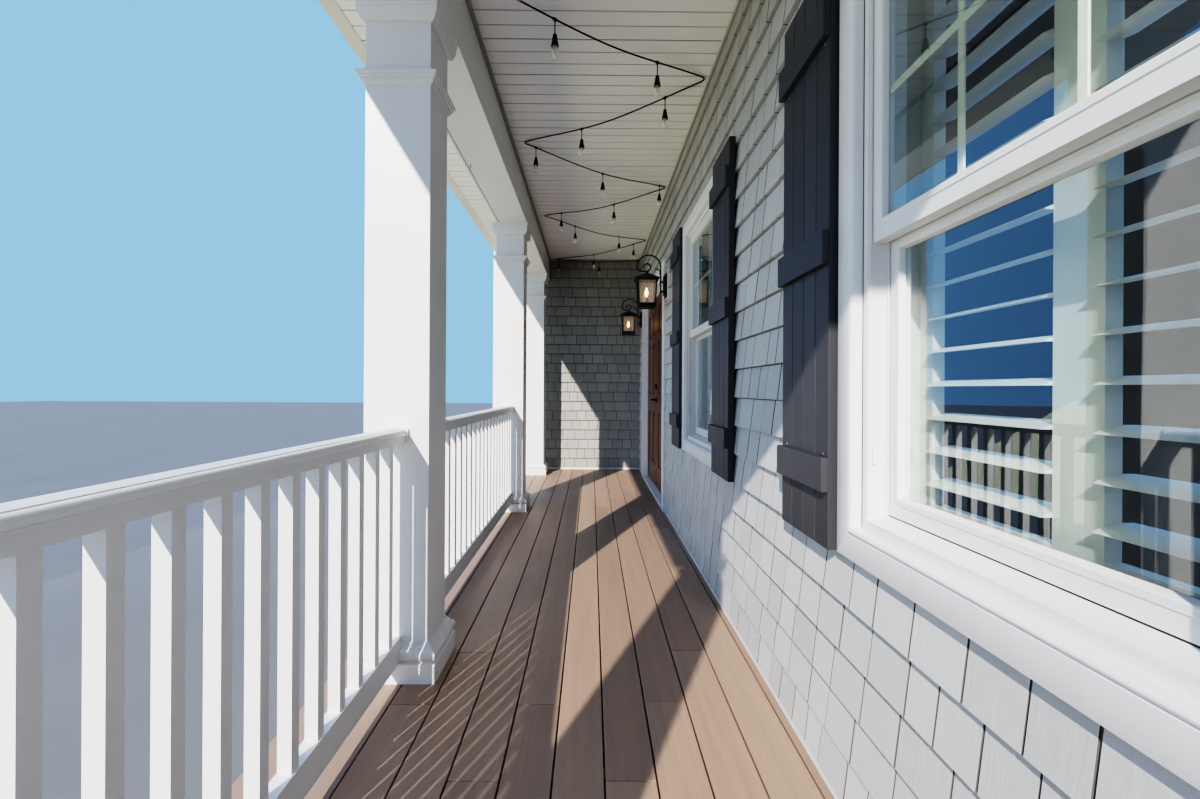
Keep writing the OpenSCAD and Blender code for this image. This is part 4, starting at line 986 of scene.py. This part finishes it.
cages = bmesh.new()
for foot in LANTERNS:
    cage_block(foot, 0.078, 0.0, 0.009)
    cage_block(foot, 0.076, 0.0265, 0.0355)
    cage_block(foot, 0.103, 0.241, 0.249)
    for x, y in ((-1, -1), (-1, 1), (1, -1), (1, 1)):
        corner = foot + Vector((x * CORNER, y * CORNER, 0))
        cage_block(corner, BAR_HALF, 0.008, 0.028)
        for vert in cage_block(corner, BAR_HALF, 0.034, 0.242):
            if vert.co.z > foot.z + 0.2:
                vert.co += Vector((x * BAR_SPREAD, y * BAR_SPREAD, 0))
    for quarter in range(4):
        lie = Matrix.Translation(foot) @ Matrix.Rotation(quarter * math.pi / 2, 4, "Z")
        for low, high in CAGE_SIDE:
            bmesh.ops.transform(cages, matrix=lie, verts=block(cages, low, high))
    for vert in cage_block(foot, 0.095, 0.249, 0.293):
        if vert.co.z > foot.z + 0.27:
            vert.co.xy = foot.xy + (vert.co.xy - foot.xy) * CROWN_SHARE
eased_edges(cages, 0.0009)
for foot in LANTERNS:
    turned(cages, [(0.0, 0.288), (0.0150, 0.288), (0.0150, 0.294), (0.0085, 0.297), (0.0075, 0.301),
                   (0.0110, 0.304), (0.0100, 0.3085), (0.0, 0.309)], foot)
cages = piece("lantern_frames", cages, powder, smooth=40)
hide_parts("lantern_cages")

# The seeded glass has a faint warm glow: painted light of the lit candle inside.
seeded = Finish("seeded_glass", {
    "Base Color": (0.50, 0.45, 0.40, 1), "Alpha": 0.26, "Specular IOR Level": 0.7,
    "Emission Color": (1.0, 0.62, 0.36, 1), "Emission Strength": 0.05})
seeds = seeded.add("TexVoronoi", {"Vector": seeded.place, "Scale": 90.0}).outputs["Distance"]
drawn = seeded.relief(seeded.grain(35, detail=2), 0.001)
seeded.look({"Roughness": seeded.amount(seeds, 0.05, 0.22),
             "Normal": seeded.relief(seeds, 0.0012, drawn)})
dress(seeded, "lantern_glass")

# Lantern candles: a cream sleeve on a small cup, with a lit flame-shaped bulb. They stand in the
# middle of the tray.
sleeve = plain_coat("candle_sleeve", {"Roughness": 0.5}, 60, (0.60, 0.54, 0.43), (0.68, 0.62, 0.50))
lit = Finish("lit_bulb", {"Base Color": (0.9, 0.6, 0.3, 1), "Roughness": 0.3, "Emission Strength": 7.0})
lit.look({"Emission Color": lit.shades(lit.grain(25), (1.0, 0.50, 0.18), (1.0, 0.62, 0.28))})
candles, flames = bmesh.new(), bmesh.new()
for foot in LANTERNS:
    turned(candles, [(0.0, 0.0355), (0.024, 0.0355), (0.024, 0.0385), (0.0150, 0.0395), (0.0128, 0.045),
                     (0.0118, 0.048), (0.0112, 0.092), (0.0, 0.092)], foot)
    turned(flames, [(0.0, 0.092), (0.0075, 0.092), (0.0095, 0.100), (0.0145, 0.113), (0.0160, 0.124),
                    (0.0148, 0.138), (0.0105, 0.155), (0.0050, 0.170), (0.0, 0.176)], foot)
piece("lantern_candles", candles, sleeve, smooth=40)
piece("lantern_bulbs", flames, lit, smooth=60)

# Floor and light: a pale floor, soft sky light from all round, a low key light from the open side
# behind the camera, and a warm fill from low in front.
FLOOR_HALF = 60
SKY = (0.27, 0.54, 1.0, 1)
SKY_STRENGTH = 0.95
# Name, kind, energy, colour, place and the way it shines.
LIGHTS = (("key_light", "SUN", 5.6, (1.0, 0.905, 0.82), (0, 0, 0), (-1.575, 0.617, -1.0)),
          ("fill_light", "AREA", 450, (1.0, 0.96, 0.62), (0.3, -4.6, 0.25), (0, 0.55, 1)))
pale = plain_coat("pale_floor", {"Roughness": 0.8}, 0.8, (0.165, 0.165, 0.163), (0.180, 0.180, 0.178))
floor = bmesh.new()
bmesh.ops.create_grid(floor, x_segments=1, y_segments=1, size=FLOOR_HALF)
floor = formed("studio_floor", floor, pale)
world = bpy.data.worlds.new("studio")
scene.world = world
world.use_nodes = True
sky = world.node_tree.nodes["Background"].inputs
sky["Color"].default_value = SKY
sky["Strength"].default_value = SKY_STRENGTH
for name, kind, energy, colour, place, aim in LIGHTS:
    light = bpy.data.objects.new(name, bpy.data.lights.new(name, kind))
    light.data.energy = energy
    light.data.color = colour
    if kind == "SUN":
        light.data.angle = math.radians(0.6)
    else:
        light.data.shape = "RECTANGLE"
        light.data.size, light.data.size_y = 14, 5
        light.visible_camera = light.visible_glossy = False
    light.location = place
    light.rotation_euler = Vector(aim).to_track_quat("-Z", "Y").to_euler()
    scene.collection.objects.link(light)
scene.view_settings.view_transform = "Filmic"
scene.view_settings.look = "Very High Contrast"
